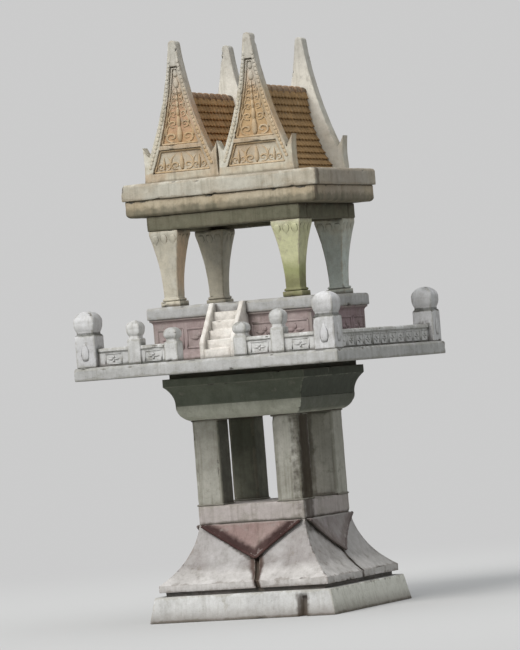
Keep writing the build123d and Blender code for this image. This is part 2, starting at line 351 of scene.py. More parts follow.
def weathered(
    name, base, tint, worn, mould, streaks, wear, grime=0.6, stains_and_painted_shade=(), washes=(), field=None, trim=None
):
    """Old paint on cast concrete: tinted coats, worn patches, mould, rain streaks, dirt in corners, chips."""
    f = Finish(name)
    sky = f.attribute("sky")
    nook = f.attribute("nook")
    chip = f.attribute("chip")
    arris = f.attribute("arris")
    broad = f.noise(f.point, 4.3, 3.0)
    patch = f.noise(f.point, 13.0, 4.0, 0.62)
    mottle = f.noise(f.point, 46.0, 4.0, 0.6)
    fine = f.noise(f.point, 190.0, 3.0, 0.6)
    run = f.noise(f.stretched((34.0, 34.0, 2.1)), 1.0, 3.0, 0.6)
    thread = f.noise(f.stretched((120.0, 120.0, 5.0), (3.1, 0.7, 0.2)), 1.0, 2.0, 0.6)
    upward = f.facing[2].step(0.25, 0.85)
    upright = 1 - (f.facing[2] * f.facing[2]).step(0.25, 0.6)
    cloudy = patch.step(0.4, 0.62)

    paint = f.mix((broad * 0.6 + patch * 0.4).step(0.42, 0.6), base, tint)
    if field:
        paint = f.mix(field_mask(f), paint, f.mix(cloudy, *field))
    for wash in washes:
        inside = f.near(wash.centre, wash.half_size, rag=0.35, scale=22.0, soft=0.6) * wash.strength
        if wash.side:
            inside = inside * f.toward(wash.side)
        paint = f.mix(inside, paint, wash.colour)
    if trim:
        edge = (f.attribute("trim") + (mottle - 0.5) * 0.5 + (patch - 0.5) * 0.3).step(0.2, 0.85)
        paint = f.mix(edge, paint, f.mix(cloudy, *trim))
    freckles = (mottle * 0.65 + fine * 0.35).step(0.3, 0.7) * 0.5
    paint = f.mix(freckles, paint, f.darker(paint, (0.62, 0.61, 0.58)))

    thin = (patch * 0.55 + mottle * 0.45 + arris * 0.16).step(0.64 - 0.16 * wear, 0.72 - 0.12 * wear)
    paint = f.mix(thin * (0.35 + 0.45 * wear), paint, worn)

    running = (run * 0.6 + thread * 0.4).step(0.47, 0.66) * upright * (0.35 + sky * 1.3).clamped()
    paint = f.mix(running * streaks, paint, f.darker(paint, (0.46, 0.44, 0.38)))

    speck = (fine * 0.5 + mottle * 0.5).step(0.53, 0.63) * (broad * 0.5 + patch * 0.5).step(0.42, 0.62)
    growth = (speck * 0.55 + upward * patch.step(0.36, 0.6) * 0.75) * (0.2 + sky * 0.9)
    paint = f.mix((growth * mould).clamped(), paint, MOULD)

    dirt = (nook * 1.25 + (mottle - 0.5) * 0.7 * nook.step(0.02, 0.3)).step(0.22, 0.95)
    paint = f.mix(dirt * grime, paint, f.mix(patch.step(0.4, 0.6), shade(SOIL, 0.75), MOULD))

    splash = (1 - (f.axes[2] + (mottle - 0.5) * 0.06).step(0.0, 0.055)) * 0.55
    paint = f.mix(splash, paint, SOIL)

    run_texture = (0.55 + 0.9 * (run - 0.25)).clamped()
    for stain in stains_and_painted_shade:
        blot = f.near(stain.centre, stain.half_size, rag=0.55, scale=48.0, soft=0.5) * run_texture
        paint = f.mix(blot * stain.strength, paint, stain.colour)

    bare = chip.step(0.25, 0.6)
    stone = f.mix(fine.step(0.4, 0.62), CONCRETE, shade(CONCRETE, 0.55))
    paint = f.mix(bare * 0.85, paint, stone)

    rough = (0.66 + 0.24 * mottle + 0.12 * bare + growth * 0.1).clamped()
    height = fine * 0.35 + mottle * 0.5 + patch * 0.5 - thin * 0.18 - bare * 0.5
    return f.done(paint, rough, height, 0.0022, **{"Specular IOR Level": 0.3})


def field_mask(f):
    """1 on the sunk upper fields of the gable boards, 0 on the rest."""
    deepest, shallowest, blur = 0.022, 0.003, 0.005
    lower_end, upper_start = ROOF_Z + 0.085, ROOF_Z + 0.13
    depth = f.axes[1].size()
    behind_face = depth.step(GABLE_FACE - deepest, GABLE_FACE - deepest + blur)
    sunk = behind_face - depth.step(GABLE_FACE - shallowest - blur, GABLE_FACE - shallowest)
    return sunk * f.facing[1].size().step(0.5, 0.8) * f.axes[2].step(lower_end, upper_start)


# Rules


@cache
def casting_rule():
    """Lumps over a cast surface, and chips along its worn arrises."""
    sizes = {"Lump Size": 0.09, "Lump Depth": 0.0012, "Chip Size": 0.03, "Chip Depth": 0.004}
    rule = Rule("Weathered casting", {**sizes, "Chip Share": 0.35, "Seed": 1.0})
    given = rule.given
    seed = given["Seed"]
    point = rule.vector("ADD", rule.place(), rule.combine(seed * 3.7, seed * 1.3, seed * 5.1))
    lump = rule.noise(point, given["Lump Size"] ** -1.0, 3.0, 0.5) - 0.5
    ripple = rule.noise(point, (given["Lump Size"] ** -1.0) * 4.3, 2.0, 0.5) - 0.5
    bite = rule.noise(point, given["Chip Size"] ** -1.0, 2.0, 0.6)
    limit = 0.72 - given["Chip Share"] * 0.3
    chip = (bite - limit).step(0.0, 0.07) * rule.attribute("arris", "FLOAT")
    lumps = lump * 2.0 * given["Lump Depth"] + ripple * 0.8 * given["Lump Depth"]
    sockets = {"Geometry": given["Geometry"], "Name": "chip", "Value": chip}
    stored = rule.add("GeometryNodeStoreNamedAttribute", sockets, data_type="FLOAT", domain="POINT")[0]
    return rule.done(rule.smooth(rule.raised(stored, lumps - chip * given["Chip Depth"])))


@cache
def courses_rule():
    """A motif at a spacing along the given lines, upright and facing as their attributes say."""
    rule = Rule("Motif courses", {"Spacing": 0.05}, ["Motif"])
    return placed_motifs(rule, rule.points_along(rule.given["Spacing"])[0])


@cache
def tiers_rule():
    """A motif on each given point, upright and facing as its attributes say."""
    rule = Rule("Motif tiers", {}, ["Motif"])
    return placed_motifs(rule, rule.given["Geometry"])


def placed_motifs(rule, points):
    sockets = {
        "Points": points,
        "Instance": rule.source("Motif"),
        "Rotation": rule.turn(rule.attribute("facing"), rule.attribute("up")),
        "Scale": rule.attribute("size"),
    }
    return rule.done(rule.add("GeometryNodeInstanceOnPoints", sockets)[0])


@cache
def tiles_rule():
    """Courses of tiles up a roof's slope, every other course shifted by half a tile."""
    sizes = {"Exposure": 0.024, "Tile Width": 0.026, "Tiles": 15, "Side": 1.0, "Unevenness": 0.002}
    rule = Rule("Tile courses", sizes, ["Tile"])
    given = rule.given
    points = rule.points_along(given["Exposure"])
    tile = rule.source("Tile")
    rows = []
    for more in (0, 1):
        count = given["Tiles"] + more
        start = rule.combine((count - 1) * given["Tile Width"] * -0.5)
        sockets = {"Count": count, "Start Location": start, "Offset": rule.combine(given["Tile Width"])}
        line = rule.add("GeometryNodeMeshLine", sockets, mode="OFFSET")[0]
        row = rule.add("GeometryNodeInstanceOnPoints", {"Points": line, "Instance": tile})[0]
        rows.append(rule.add("GeometryNodeGeometryToInstance", {"Geometry": row})[0])
    join = rule.add("GeometryNodeJoinGeometry")
    for row in reversed(rows):
        rule.node_tree.links.new(row.socket, join.node.inputs[0])
    parity = rule.add("GeometryNodeInputIndex")[0] % 2.0
    along = points["Tangent"]
    outward = rule.vector("SCALE", rule.vector("CROSS_PRODUCT", (0.0, 1.0, 0.0), along), Scale=given["Side"])
    sockets = {
        "Points": points[0],
        "Instance": join[0],
        "Pick Instance": True,
        "Instance Index": parity,
        "Rotation": rule.turn(outward, along),
    }
    laid = rule.add("GeometryNodeInstanceOnPoints", sockets)[0]
    lift = (rule.noise(rule.place(), 38.0, 1.0) - 0.5) * given["Unevenness"] * 2.0
    return rule.done(rule.raised(rule.realized(laid), lift))


@cache
def bead_rule():
    """A round bead along the given lines, a little uneven."""
    rule = Rule("Bead moulding", {"Radius": 0.004, "Step": 0.008, "Unevenness": 0.15})
    given = rule.given
    sockets = {"Curve": rule.line(), "Length": given["Step"]}
    even = rule.add("GeometryNodeResampleCurve", sockets, mode="LENGTH")[0]
    sockets = {"Resolution": 8, "Radius": given["Radius"]}
    section = rule.add("GeometryNodeCurvePrimitiveCircle", sockets, mode="RADIUS")[0]
    sockets = {"Curve": even, "Profile Curve": section, "Fill Caps": True}
    swept = rule.add("GeometryNodeCurveToMesh", sockets)[0]
    lift = (rule.noise(rule.place(), 70.0, 2.0) - 0.5) * given["Unevenness"] * given["Radius"] * 4.0
    return rule.done(rule.smooth(rule.raised(swept, lift)))


def link(name, data):
    piece = bpy.data.objects.new(name, data)
    bpy.context.scene.collection.objects.link(piece)
    return piece


def linked_mesh(name, bm):
    mesh = bpy.data.meshes.new(name)
    bm.to_mesh(mesh)
    bm.free()
    return link(name, mesh)


def run_rule(rule, source, values, name):
    """The object that a rule makes of the source, as a plain mesh piece."""
    modifier = source.modifiers.new("rule", "NODES")
    modifier.node_group = rule
    for item in rule.interface.items_tree:
        if item.item_type == "SOCKET" and item.in_out == "INPUT" and item.name in values:
            modifier[item.identifier] = values[item.name]
    bpy.context.view_layer.update()
    evaluated = source.evaluated_get(bpy.context.evaluated_depsgraph_get())
    mesh = bpy.data.meshes.new_from_object(evaluated)
    source.modifiers.remove(modifier)
    bpy.data.objects.remove(source)
    mesh.name = name
    return link(name, mesh)


# Castings


class Shelter:
    """How much sky and how much close cover each point of the whole house has.

    Rays lower than the horizon are no sky.
    """

    horizon = 0.15

    def __init__(self, count=18):
        points, faces = [], []
        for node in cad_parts.values():
            start = len(points)
            points += [v.co.copy() for v in node.data.vertices]
            faces += [[start + i for i in p.vertices] for p in node.data.polygons]
        ground = len(points)
        points += [Vector((x, y, -0.001)) for x, y in ((-3, -3), (3, -3), (3, 3), (-3, 3))]
        faces.append([ground, ground + 1, ground + 2, ground + 3])
        self.solid = BVHTree.FromPolygons(points, faces)
        golden = math.pi * (3 - math.sqrt(5))
        self.rays = []
        for i in range(count):
            z = 1 - 2 * (i + 0.5) / count
            r = math.sqrt(1 - z * z)
            self.rays.append(Vector((r * math.cos(golden * i), r * math.sin(golden * i), z)))

    def measure(self, mesh, reach=0.075, lift=0.007, grazing=0.12, far=1.6):
        """Writes the attributes sky and nook on a mesh."""
        skies, nooks = [], []
        upward = sum(ray.z for ray in self.rays if ray.z > self.horizon)
        for vert in mesh.vertices:
            normal = vert.normal
            start = vert.co + normal * lift
            free = close = whole = 0.0
            for ray in self.rays:
                facing = ray.dot(normal)
                if facing < grazing:
                    continue
                whole += facing
                distance = self.solid.ray_cast(start, ray, far)[3]
                if distance is None:
                    if ray.z > self.horizon:
                        free += ray.z
                elif distance < reach:
                    close += facing * (1 - distance / reach)
            skies.append(free / upward)
            nooks.append(min(1.0, 1.8 * close / whole) if whole else 0.0)
        for name, values in (("sky", skies), ("nook", nooks)):
            layer = mesh.attributes.get(name) or mesh.attributes.new(name, "FLOAT", "POINT")
            layer.data.foreach_set("value", values)


@cache
def shelter():
    """The one Shelter that all pieces are measured by."""
    return Shelter()


def house_piece(piece):
    """Measures a piece's shelter for its weathering, and makes it ride on the house."""
    shelter().measure(piece.data)
    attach(piece, "root")
    return piece


def planar_copy(node):
    """The node's surface with its loose triangles joined into flat faces."""
    bm = bmesh.new()
    bm.from_mesh(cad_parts[node].data)
    bmesh.ops.remove_doubles(bm, verts=bm.verts, dist=WELD)
    verts, edges = bm.verts[:], bm.edges[:]
    bmesh.ops.dissolve_limit(bm, angle_limit=FLAT, verts=verts, edges=edges, use_dissolve_boundaries=False)
    return bm


def wear_arrises(bm, width):
    """Rounds the outer edges and marks the faces that this makes."""
    flag = bm.faces.layers.int.new("worn")
    outer = [edge for edge in bm.edges if edge.is_manifold and edge.is_convex]
    sharp = [edge for edge in outer if edge.calc_face_angle(0.0) > ARRIS_ANGLE]
    rounding = {"offset": width, "offset_type": "OFFSET", "segments": 2, "profile": 0.5}
    made = bmesh.ops.bevel(bm, geom=sharp, affect="EDGES", clamp_overlap=True, **rounding)
    for face in made["faces"]:
        face[flag] = 1


def cut_into_cells(bm, cell, cuts_x):
    """Divides the surface by planes, so that it can be dented."""
    for axis in range(3):
        along = [v.co[axis] for v in bm.verts]
        low, high = min(along), max(along)
        count = max(1, round((high - low) / cell))
        places = [low + (high - low) * step / count for step in range(1, count)]
        if axis == 0:
            places += cuts_x
        normal = Vector([1.0 if i == axis else 0.0 for i in range(3)])
        for at in places:
            geometry = bm.verts[:] + bm.edges[:] + bm.faces[:]
            bmesh.ops.bisect_plane(bm, geom=geometry, dist=1e-5, plane_co=normal * at, plane_no=normal)


def mark_arrises(bm):
    flag = bm.faces.layers.int["worn"]
    layer = bm.verts.layers.float.new("arris")
    for face in bm.faces:
        if face[flag]:
            for vert in face.verts:
                vert[layer] = 1.0


def shape_piece(bm, name, slot, finish, seed, cell=None, arris=None, lumps=1.0, cuts_x=(), dent=None):
    """Wears, cuts and dents a bmesh, and makes it a piece of the house."""
    s = bpy.context.scene.spirit_house_casting
    wear_arrises(bm, arris or s.arris)
    cut_into_cells(bm, cell or s.cell, cuts_x)
    mark_arrises(bm)
    if dent:
        dent(bm)
    values = {
        "Lump Size": s.lump_size,
        "Lump Depth": s.lump_depth * lumps,
        "Chip Size": s.chip_size,
        "Chip Depth": s.chip_depth,
        "Chip Share": s.chip_share,
        "Seed": seed,
        "Finish": finish,
    }
    source = linked_mesh(name + "_plain", bm)
    return house_piece(run_rule(casting_rule(), source, values, name))


def cast(node, slot, finish, seed, **wear):
    """A worn casting that stands for a CAD node."""
    piece = shape_piece(planar_copy(node), node + "_cast", slot, finish, seed, **wear)
    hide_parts(node)


# Mouldings and motifs


def skin(bm, loops):
    """Faces between each loop of vertices and the next."""
    for low, high in zip(loops, loops[1:]):
        for i in range(len(low)):
            j = (i + 1) % len(low)
            bm.faces.new((low[i], low[j], high[j], high[i]))


def closed_skin(bm, loops):
    skin(bm, loops)
    bm.faces.new(loops[0])
    bm.faces.new(list(reversed(loops[-1])))


def ring(bm, centre, half, profile):
    """A moulding whose closed (out, z) profile runs round a square and mitres at its corners."""
    loops = []
    for out, z in profile:
        reach = half + out
        square = ((-reach, -reach), (reach, -reach), (reach, reach), (-reach, reach))
        loops.append([bm.verts.new((centre[0] + x, centre[1] + y, z)) for x, y in square])
    skin(bm, loops + loops[:1])


def round_profile(out, z, radius, height, steps=4):
    """Half of an ellipse that stands out from a face, closed along the face."""
    points = []
    for i in range(steps + 1):
        turn = math.pi * (i / steps - 0.5)
        points.append((out + radius * math.cos(turn), z + height / 2 * (1 + math.sin(turn))))
    return points


def motif_object(name, bm):
    bmesh.ops.recalc_face_normals(bm, faces=bm.faces)
    for face in bm.faces:
        face.smooth = True
    return linked_mesh(name, bm)


def stroke(bm, points, radii, lift=0.6):
    """A flat-backed stroke in the XY plane that stands up along Z, closed at both ends."""
    rings = []
    for i, point in enumerate(points):
        before = Vector(points[max(0, i - 1)])
        after = Vector(points[min(len(points) - 1, i + 1)])
        along = (after - before).normalized()
        side = Vector((-along.y, along.x))
        loop = []
        for turn in (0, 45, 90, 135, 180):
            out = side * (math.cos(math.radians(turn)) * radii[i])
            height = math.sin(math.radians(turn)) * radii[i] * lift
            loop.append(bm.verts.new((point[0] + out.x, point[1] + out.y, height)))
        rings.append(loop)
    closed_skin(bm, rings)


def taper(count, start, belly, end):
    """Radii that swell from the start to the belly and thin out to the end."""
    radii = []
    for i in range(count):
        t = i / (count - 1)
        if t < 0.4:
            radii.append(start + (belly - start) * t / 0.4)
        else:
            radii.append(belly + (end - belly) * (t - 0.4) / 0.6)
    return radii


def flame_scroll_motif():
    """A leaf between two scrolls that end in flame tips, one unit wide and one high."""
    bm = bmesh.new()
    leaf = [(0.0, 0.02 + 0.93 * i / 8) for i in range(9)]
    stroke(bm, leaf, [0.03, 0.075, 0.1, 0.105, 0.095, 0.075, 0.05, 0.03, 0.008])
    for side in (-1, 1):
        scroll = []
        for i in range(15):
            t = i / 14
            turn = math.radians(-110 + 430 * t)
            reach = 0.19 * (1 - t) + 0.035
            scroll.append((side * (0.27 + reach * math.cos(turn)), 0.27 + reach * math.sin(turn)))
        stroke(bm, scroll, taper(15, 0.03, 0.055, 0.025))
        flame = []
        for i in range(9):
            t = i / 8
            across = 0.45 - 0.02 * t - 0.24 * t * t + 0.06 * math.sin(t * math.pi)
            flame.append((side * across, 0.3 + 0.62 * t))
        stroke(bm, flame, taper(9, 0.04, 0.06, 0.008))
    return motif_object("flame_scroll_motif", bm)


def lozenge_panel_motif():
    """A framed panel with a four-petalled lozenge, one unit high and 1.7 wide."""
    bm = bmesh.new()
    wide, high = 0.85, 0.5
    corners = [(-wide, -high), (wide, -high), (wide, high), (-wide, high)]
    for a, b in zip(corners, corners[1:] + corners[:1]):
        stroke(bm, [a, ((a[0] + b[0]) / 2, (a[1] + b[1]) / 2), b], [0.07, 0.07, 0.07], 0.9)
    for x, y in ((1, 0), (-1, 0), (0, 1), (0, -1)):
        reach = 0.62 if x else 0.36
        petal = [(x * reach * t, y * reach * t) for t in (0.12, 0.4, 0.7, 1.0)]
        stroke(bm, petal, [0.05, 0.13, 0.1, 0.01], 0.8)
    return motif_object("lozenge_panel_motif", bm)


def petal_motif():
    """A pointed petal, one unit wide and one high, with a raised midrib."""
    bm = bmesh.new()
    stroke(bm, [(0.0, -0.5 + i / 6) for i in range(7)], [0.3, 0.42, 0.48, 0.46, 0.36, 0.2, 0.02], 0.5)
    return motif_object("petal_motif", bm)


def tile_motif(width, exposure, lip):
    """A tile with a rounded lower end, which lies on its course and tips out over the one below."""
    bm = bmesh.new()
    half = width * 0.485
    shoulder, tail = 0.12 * exposure, 1.04 * exposure
    outline = [(-half, tail), (-half, shoulder)]
    for i in range(1, 6):
        turn = math.pi * (1 + i / 6)
        outline.append((half * math.cos(turn), shoulder + 0.3 * exposure * math.sin(turn)))
    outline += [(half, shoulder), (half, tail)]
    loops = []
    for inset, rise in ((1.0, -0.002), (1.0, 0.0022), (0.9, 0.003)):
        loop = []
        for x, y in outline:
            crown = 0.0015 * (1 - (x / half) ** 2) if rise > 0 else 0.0
            height = lip * (1 - y / exposure) + rise + crown
            loop.append(bm.verts.new((x * inset, y + (1 - inset) * (0.5 * exposure - y) * 0.6, height)))
        loops.append(loop)
    skin(bm, loops)
    bm.faces.new(loops[-1])
    bm.faces.new(list(reversed(loops[0])))
    return motif_object("tile_motif", bm)


def ridge_cap_motif(radius, length):
    """A half-round ridge tile with a collar at one end, lying along X."""
    bm = bmesh.new()
    rings = []
    for along, swell in ((-0.5, 1.0), (0.28, 0.95), (0.3, 1.16), (0.5, 1.2)):
        reach = radius * swell
        loop = []
        for i in range(9):
            turn = math.pi * i / 8
            loop.append(bm.verts.new((along * length, reach * math.cos(turn), reach * math.sin(turn) * 0.9)))
        for side in (-1, 1):
            loop.append(bm.verts.new((along * length, side * reach * 0.8, -0.012)))
        rings.append(loop)
    closed_skin(bm, rings)
    return motif_object("ridge_cap_motif", bm)


def lines_object(name, lines, closed=False, **attributes):
    """Polylines as a mesh of edges, with an attribute value for each point where a rule reads one."""
    points, edges = [], []
    for line in lines:
        start = len(points)
        points += [tuple(p) for p in line]
        edges += [(start + i, start + i + 1) for i in range(len(line) - 1)]
        if closed:
            edges.append((start + len(line) - 1, start))
    mesh = bpy.data.meshes.new(name)
    mesh.from_pydata(points, edges, [])
    for key, values in attributes.items():
        layer = mesh.attributes.new(key, "FLOAT_VECTOR", "POINT")
        layer.data.foreach_set("vector", [c for value in values for c in value])
    return link(name, mesh)


def bead(name, finish, lines, radius, closed=False, uneven=0.15):
    source = lines_object(name + "_line", lines, closed)
    values = {"Radius": radius, "Step": max(0.006, radius * 1.6), "Unevenness": uneven, "Finish": finish}
    house_piece(run_rule(bead_rule(), source, values, name))


# Where a motif stands, which ways its face and its top look, and its size across, up and out.
Place = namedtuple("Place", "point facing up size")


def repeated(name, finish, motif, places, spacing=None):
    """A motif on each place, or at a spacing along lines of places."""
    lines = places if spacing else [places]
    flat = [place for line in lines for place in line]
    source = lines_object(
        name + "_line",
        [[place.point for place in line] for line in lines],
        facing=[place.facing for place in flat],
        up=[place.up for place in flat],
        size=[place.size for place in flat],
    )
    values = {"Motif": motif, "Finish": finish, "Spacing": spacing}
    piece = run_rule(courses_rule() if spacing else tiers_rule(), source, values, name)
    bpy.data.objects.remove(motif)
    house_piece(piece)


# Settings


def number(name, default, description, **kind):
    return bpy.props.FloatProperty(name=name, description=description, default=default, **kind)


def tint(name, default, description):
    return bpy.props.FloatVectorProperty(name=name, description=description, default=default, subtype="COLOR")


class SpiritHouseCasting(bpy.types.PropertyGroup):
    cell: number("Cell", 0.012, "Size of the cells that a casting is dented by", unit="LENGTH")
    arris: number("Arris", 0.0035, "Width of the worn outer edges", unit="LENGTH")
    lump_size: number("Lump Size", 0.075, "Size of the lumps in the render", unit="LENGTH")
    lump_depth: number("Lump Depth", 0.0013, "Depth of the lumps in the render", unit="LENGTH")
    chip_size: number("Chip Size", 0.034, "Size of the chips along the edges", unit="LENGTH")
    chip_depth: number("Chip Depth", 0.004, "Depth of the chips along the edges", unit="LENGTH")
    chip_share: number("Chip Share", 0.28, "Share of the edges that is chipped", subtype="FACTOR")


class SpiritHousePaint(bpy.types.PropertyGroup):
    white: tint("White", (0.8, 0.8, 0.8), "Weathered white of the terrace and slab")
    cream: tint("Cream", (0.66, 0.61, 0.5), "Cream of the columns and gable edges")
    gold: tint("Gold", (0.52, 0.34, 0.19), "Faded gold of the gable fields")
    tile: tint("Tile", (0.35, 0.218, 0.1), "Faded red-brown of the roof tiles")
    mauve: tint("Mauve", (0.4, 0.313, 0.31), "Faded mauve of the plinth")
    # Moss grey-green, darkened as painted shade for the cornice under the terrace.
    moss_and_painted_shade: tint("Moss", (0.25, 0.275, 0.22), "Grey-green of the sheltered cornice")
    stone: tint("Stone", (0.395, 0.384, 0.34), "Grey-beige of the pedestal legs")


class SpiritHouseStage(bpy.types.PropertyGroup):
    azimuth: number("Azimuth", math.radians(24), "Turn of the camera round the house", subtype="ANGLE")
    distance: number("Distance", 14.4, "Distance of the camera", unit="LENGTH")
    eye: number("Eye Height", 0.813, "Height of the camera", unit="LENGTH")
    roll: number("Roll", math.radians(4.5), "Roll of the camera", subtype="ANGLE")
    height: number("View Height", 2.16, "Height that the view takes in at the house", unit="LENGTH")
    sun: number("Key Light", 2.1, "Strength of the soft key light")
    sky: number("Fill Light", 0.62, "Strength of the light from all round")
    floor: tint("Floor", (0.6, 0.6, 0.6), "Colour of the floor and backdrop")


def paints():
    return bpy.context.scene.spirit_house_paint


# Pedestal


def slab_finish():
    white = paints().white
    # Damp soil colour in the broken notch, made darker as painted shadow in the notch.
    notch_damp_and_painted_shadow = Wash(0.95, shade(SOIL, 0.65), (NOTCH_X, -0.31, 0.03), (0.024, 0.04, 0.044))
    # Painted light: the right side of the slab is lightened.
    painted_light_right_side = Wash(0.85, (0.88, 0.88, 0.8), (0.33, 0.0, 0.05), (0.05, None, None), RIGHT)
    return weathered(
        "slab white", shade(white, 0.93), shade(white, 0.8), (0.48, 0.46, 0.41),
        mould=0.4, streaks=0.3, wear=0.45, stains_and_painted_shade=[notch_damp_and_painted_shadow], washes=[painted_light_right_side],
    )


def foot_finish():
    corner_drip = Wash(0.85, (0.055, 0.038, 0.028), (0.22, -0.155, 0.29), (0.035, 0.045, 0.03))
    rinsed_hem = Wash(0.65, (0.78, 0.755, 0.74), (0.0, 0.0, 0.132), (None, None, 0.036))
    # Painted light: the right side of the foot is lightened a little.
    painted_light_right_side = Wash(0.15, (0.78, 0.76, 0.73), (0.25, 0.0, 0.2), (0.2, None, None), RIGHT)
    return weathered(
        "foot white", (0.54, 0.52, 0.52), (0.43, 0.4, 0.395), (0.34, 0.3, 0.27),
        # The trim colours darken the grooves: dirt, and painted shade in the grooves.
        mould=0.35, streaks=0.3, wear=0.45, trim=((0.1, 0.065, 0.055), (0.15, 0.105, 0.09)),
        stains_and_painted_shade=[corner_drip], washes=[rinsed_hem, painted_light_right_side],
    )


def leg_finish():
    front_right = (LEG.x + 0.046, -LEG.y - 0.002, 0.52)
    run_down = Wash(1.0, (0.032, 0.02, 0.008), front_right, (0.03, 0.05, 0.2))
    # A brown stain on the left of the back-right leg's front, made darker as painted shade between the legs.
    inner_stain_and_painted_shade = Wash(0.6, (0.07, 0.055, 0.038), (0.104, 0.1, 0.52), (0.014, 0.03, 0.17))
    # Painted light: the right side of the back-right leg is lightened.
    painted_light_side = Wash(0.65, (0.6, 0.59, 0.53), (0.19, LEG.y, 0.52), (0.03, 0.08, None), RIGHT)
    # Painted light: the front of the back-right leg, shaded by the legs round it, is lightened.
    painted_light_front = Wash(0.5, (0.6, 0.59, 0.54), (0.16, 0.1, 0.52), (0.05, 0.03, None), FRONT)
    shady_side = Wash(0.85, (0.085, 0.085, 0.066), (-0.098, -LEG.y, 0.52), (0.02, 0.07, None), RIGHT)
    soot = Wash(0.85, (0.055, 0.04, 0.01), front_right, (0.03, 0.05, None), RIGHT)
    grey_front = Wash(0.28, (0.28, 0.27, 0.23), (-LEG.x, -0.19, 0.52), (0.06, 0.03, None), FRONT)
    return weathered(
        "leg stone", paints().stone, (0.58, 0.57, 0.52), (0.3, 0.29, 0.24),
        mould=0.5, streaks=0.65, wear=0.5, stains_and_painted_shade=[run_down, inner_stain_and_painted_shade],
        washes=[painted_light_side, painted_light_front, shady_side, soot, grey_front],
    )


def sill_finish():
    run_down = Wash(1.0, (0.055, 0.038, 0.026), (0.19, -0.146, 0.34), (0.03, 0.042, 0.045))
    return weathered(
        "sill pink", (0.56, 0.51, 0.5), (0.48, 0.44, 0.41), (0.36, 0.33, 0.29),
        mould=0.5, streaks=0.4, wear=0.45, stains_and_painted_shade=[run_down],
    )


class SPIRITHOUSE_OT_pedestal(bpy.types.Operator):
    """Cast the ground slab, the splayed foot with its aprons, the sill and the four legs"""

    bl_idname = "spirit_house.pedestal"
    bl_label = "Pedestal"
    slot = "pedestal_render"

    def execute(self, context):
        pink = weathered(
            "apron pink", (0.36, 0.255, 0.24), (0.42, 0.32, 0.3), (0.4, 0.34, 0.32),
            mould=0.45, streaks=0.45, wear=0.5, trim=((0.055, 0.027, 0.025), (0.085, 0.045, 0.042)),
        )
        faded = weathered(
            "apron faded", (0.4, 0.37, 0.365), (0.34, 0.3, 0.3), (0.42, 0.4, 0.38),
            mould=0.45, streaks=0.45, wear=0.5, trim=((0.24, 0.2, 0.195), (0.3, 0.26, 0.25)),
        )
        # The back-left leg's grey-green is moss, darkened further as painted shade between the legs.
        algae_and_painted_shade = weathered(
            "leg mossy", (0.12, 0.125, 0.095), (0.19, 0.19, 0.15), (0.22, 0.2, 0.16),
            mould=0.7, streaks=0.5, wear=0.4,
        )
        cuts_x = [NOTCH_X + away for away in (-0.015, -0.011, 0.011, 0.015)]
        cast("ground_slab", self.slot, slab_finish(), seed=1.0, cuts_x=cuts_x, dent=slab_break)
        cast("foot_base", self.slot, foot_finish(), seed=2.0, dent=foot_grooves)
        for i, side in enumerate(("front", "right", "back", "left")):
            apron = faded if i else pink
            cast(f"apron_{side}", self.slot, apron, seed=3.0 + i, cell=0.009, dent=apron_edges)
        cast("pedestal_sill", self.slot, sill_finish(), seed=7.0)
        stone = leg_finish()
        for i, corner in enumerate(CORNERS):
            cast(f"leg_{corner}", self.slot, algae_and_painted_shade if corner == "back_left" else stone, seed=8.0 + i)
        self.apron_beads()
        self.mortar()
        return {"FINISHED"}

    def apron_beads(self):
        """A bead down both edges of each pointed apron."""
        oxblood = weathered(
            "bead oxblood", (0.06, 0.026, 0.024), (0.1, 0.05, 0.045), (0.2, 0.135, 0.12),
            mould=0.3, streaks=0.3, wear=0.35,
        )
        dun = weathered(
            "bead dun", (0.2, 0.165, 0.16), (0.26, 0.22, 0.215), (0.34, 0.3, 0.29),
            mould=0.4, streaks=0.3, wear=0.4,
        )
        for name, finish, quarters in (("front", oxblood, [0]), ("side", dun, [1, 2, 3])):
            lines = [apron_edge(quarter, side) for quarter in quarters for side in (-1, 1)]
            bead(f"{name}_apron_beads", finish, lines, 0.005, uneven=0.3)

    def mortar(self):
        """Mortar squeezed out where the legs stand on the sill and carry the cornice."""
        grey = weathered(
            "mortar grey", (0.26, 0.25, 0.21), (0.2, 0.19, 0.16), (0.34, 0.32, 0.28),
            mould=0.6, streaks=0.2, wear=0.4,
        )
        half, bedded, proud, tall = 0.0452, 0.002, 0.005, 0.007
        low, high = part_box("leg_front_left")
        bm = bmesh.new()
        for side_x, side_y in CORNERS.values():
            for z in (low.z - 0.001, high.z + 0.001 - tall):
                ring(bm, (side_x * LEG.x, side_y * LEG.y), half, round_profile(-bedded, z, proud, tall))
        bmesh.ops.recalc_face_normals(bm, faces=bm.faces)
        shape_piece(bm, "leg_mortar", self.slot, grey, seed=60.0, cell=0.012, arris=0.0002, lumps=1.6)


def apron_edge(quarter, side, steps=14):
    """The points down one raking edge of the apron on a face of the foot."""
    foot_z, foot_height = 0.121, 0.188
    foot_half, neck_half, hollow = 0.3145, 0.203, 0.0256
    start, inset = 0.03, 0.002
    turn = quarter_turn(quarter)
    points = []
    for i in range(steps + 1):
        t = start + (1 - start) * i / steps
        z = SILL_Z - (SILL_Z - APRON_TIP) * t
        up = (z - foot_z) / foot_height
        out = foot_half + (neck_half - foot_half) * up - hollow * 4 * up * (1 - up)
        point = turn @ Vector((side * (APRON_HALF - inset) * (1 - t), -out, z))
        point.x += front_lean(point)
        points.append(point)
    return points


def front_lean(point):
    """How far the front face's groove and apron point stand to the right of where they would be plumb."""
    most, drop, fade = 0.058, 0.21, 0.2
    if point.y > FRONT_FACE:
        return 0.0
    return most * unit((SILL_Z - point.z) / drop) ** 1.2 * max(0.0, 1 - abs(point.x) / fade)


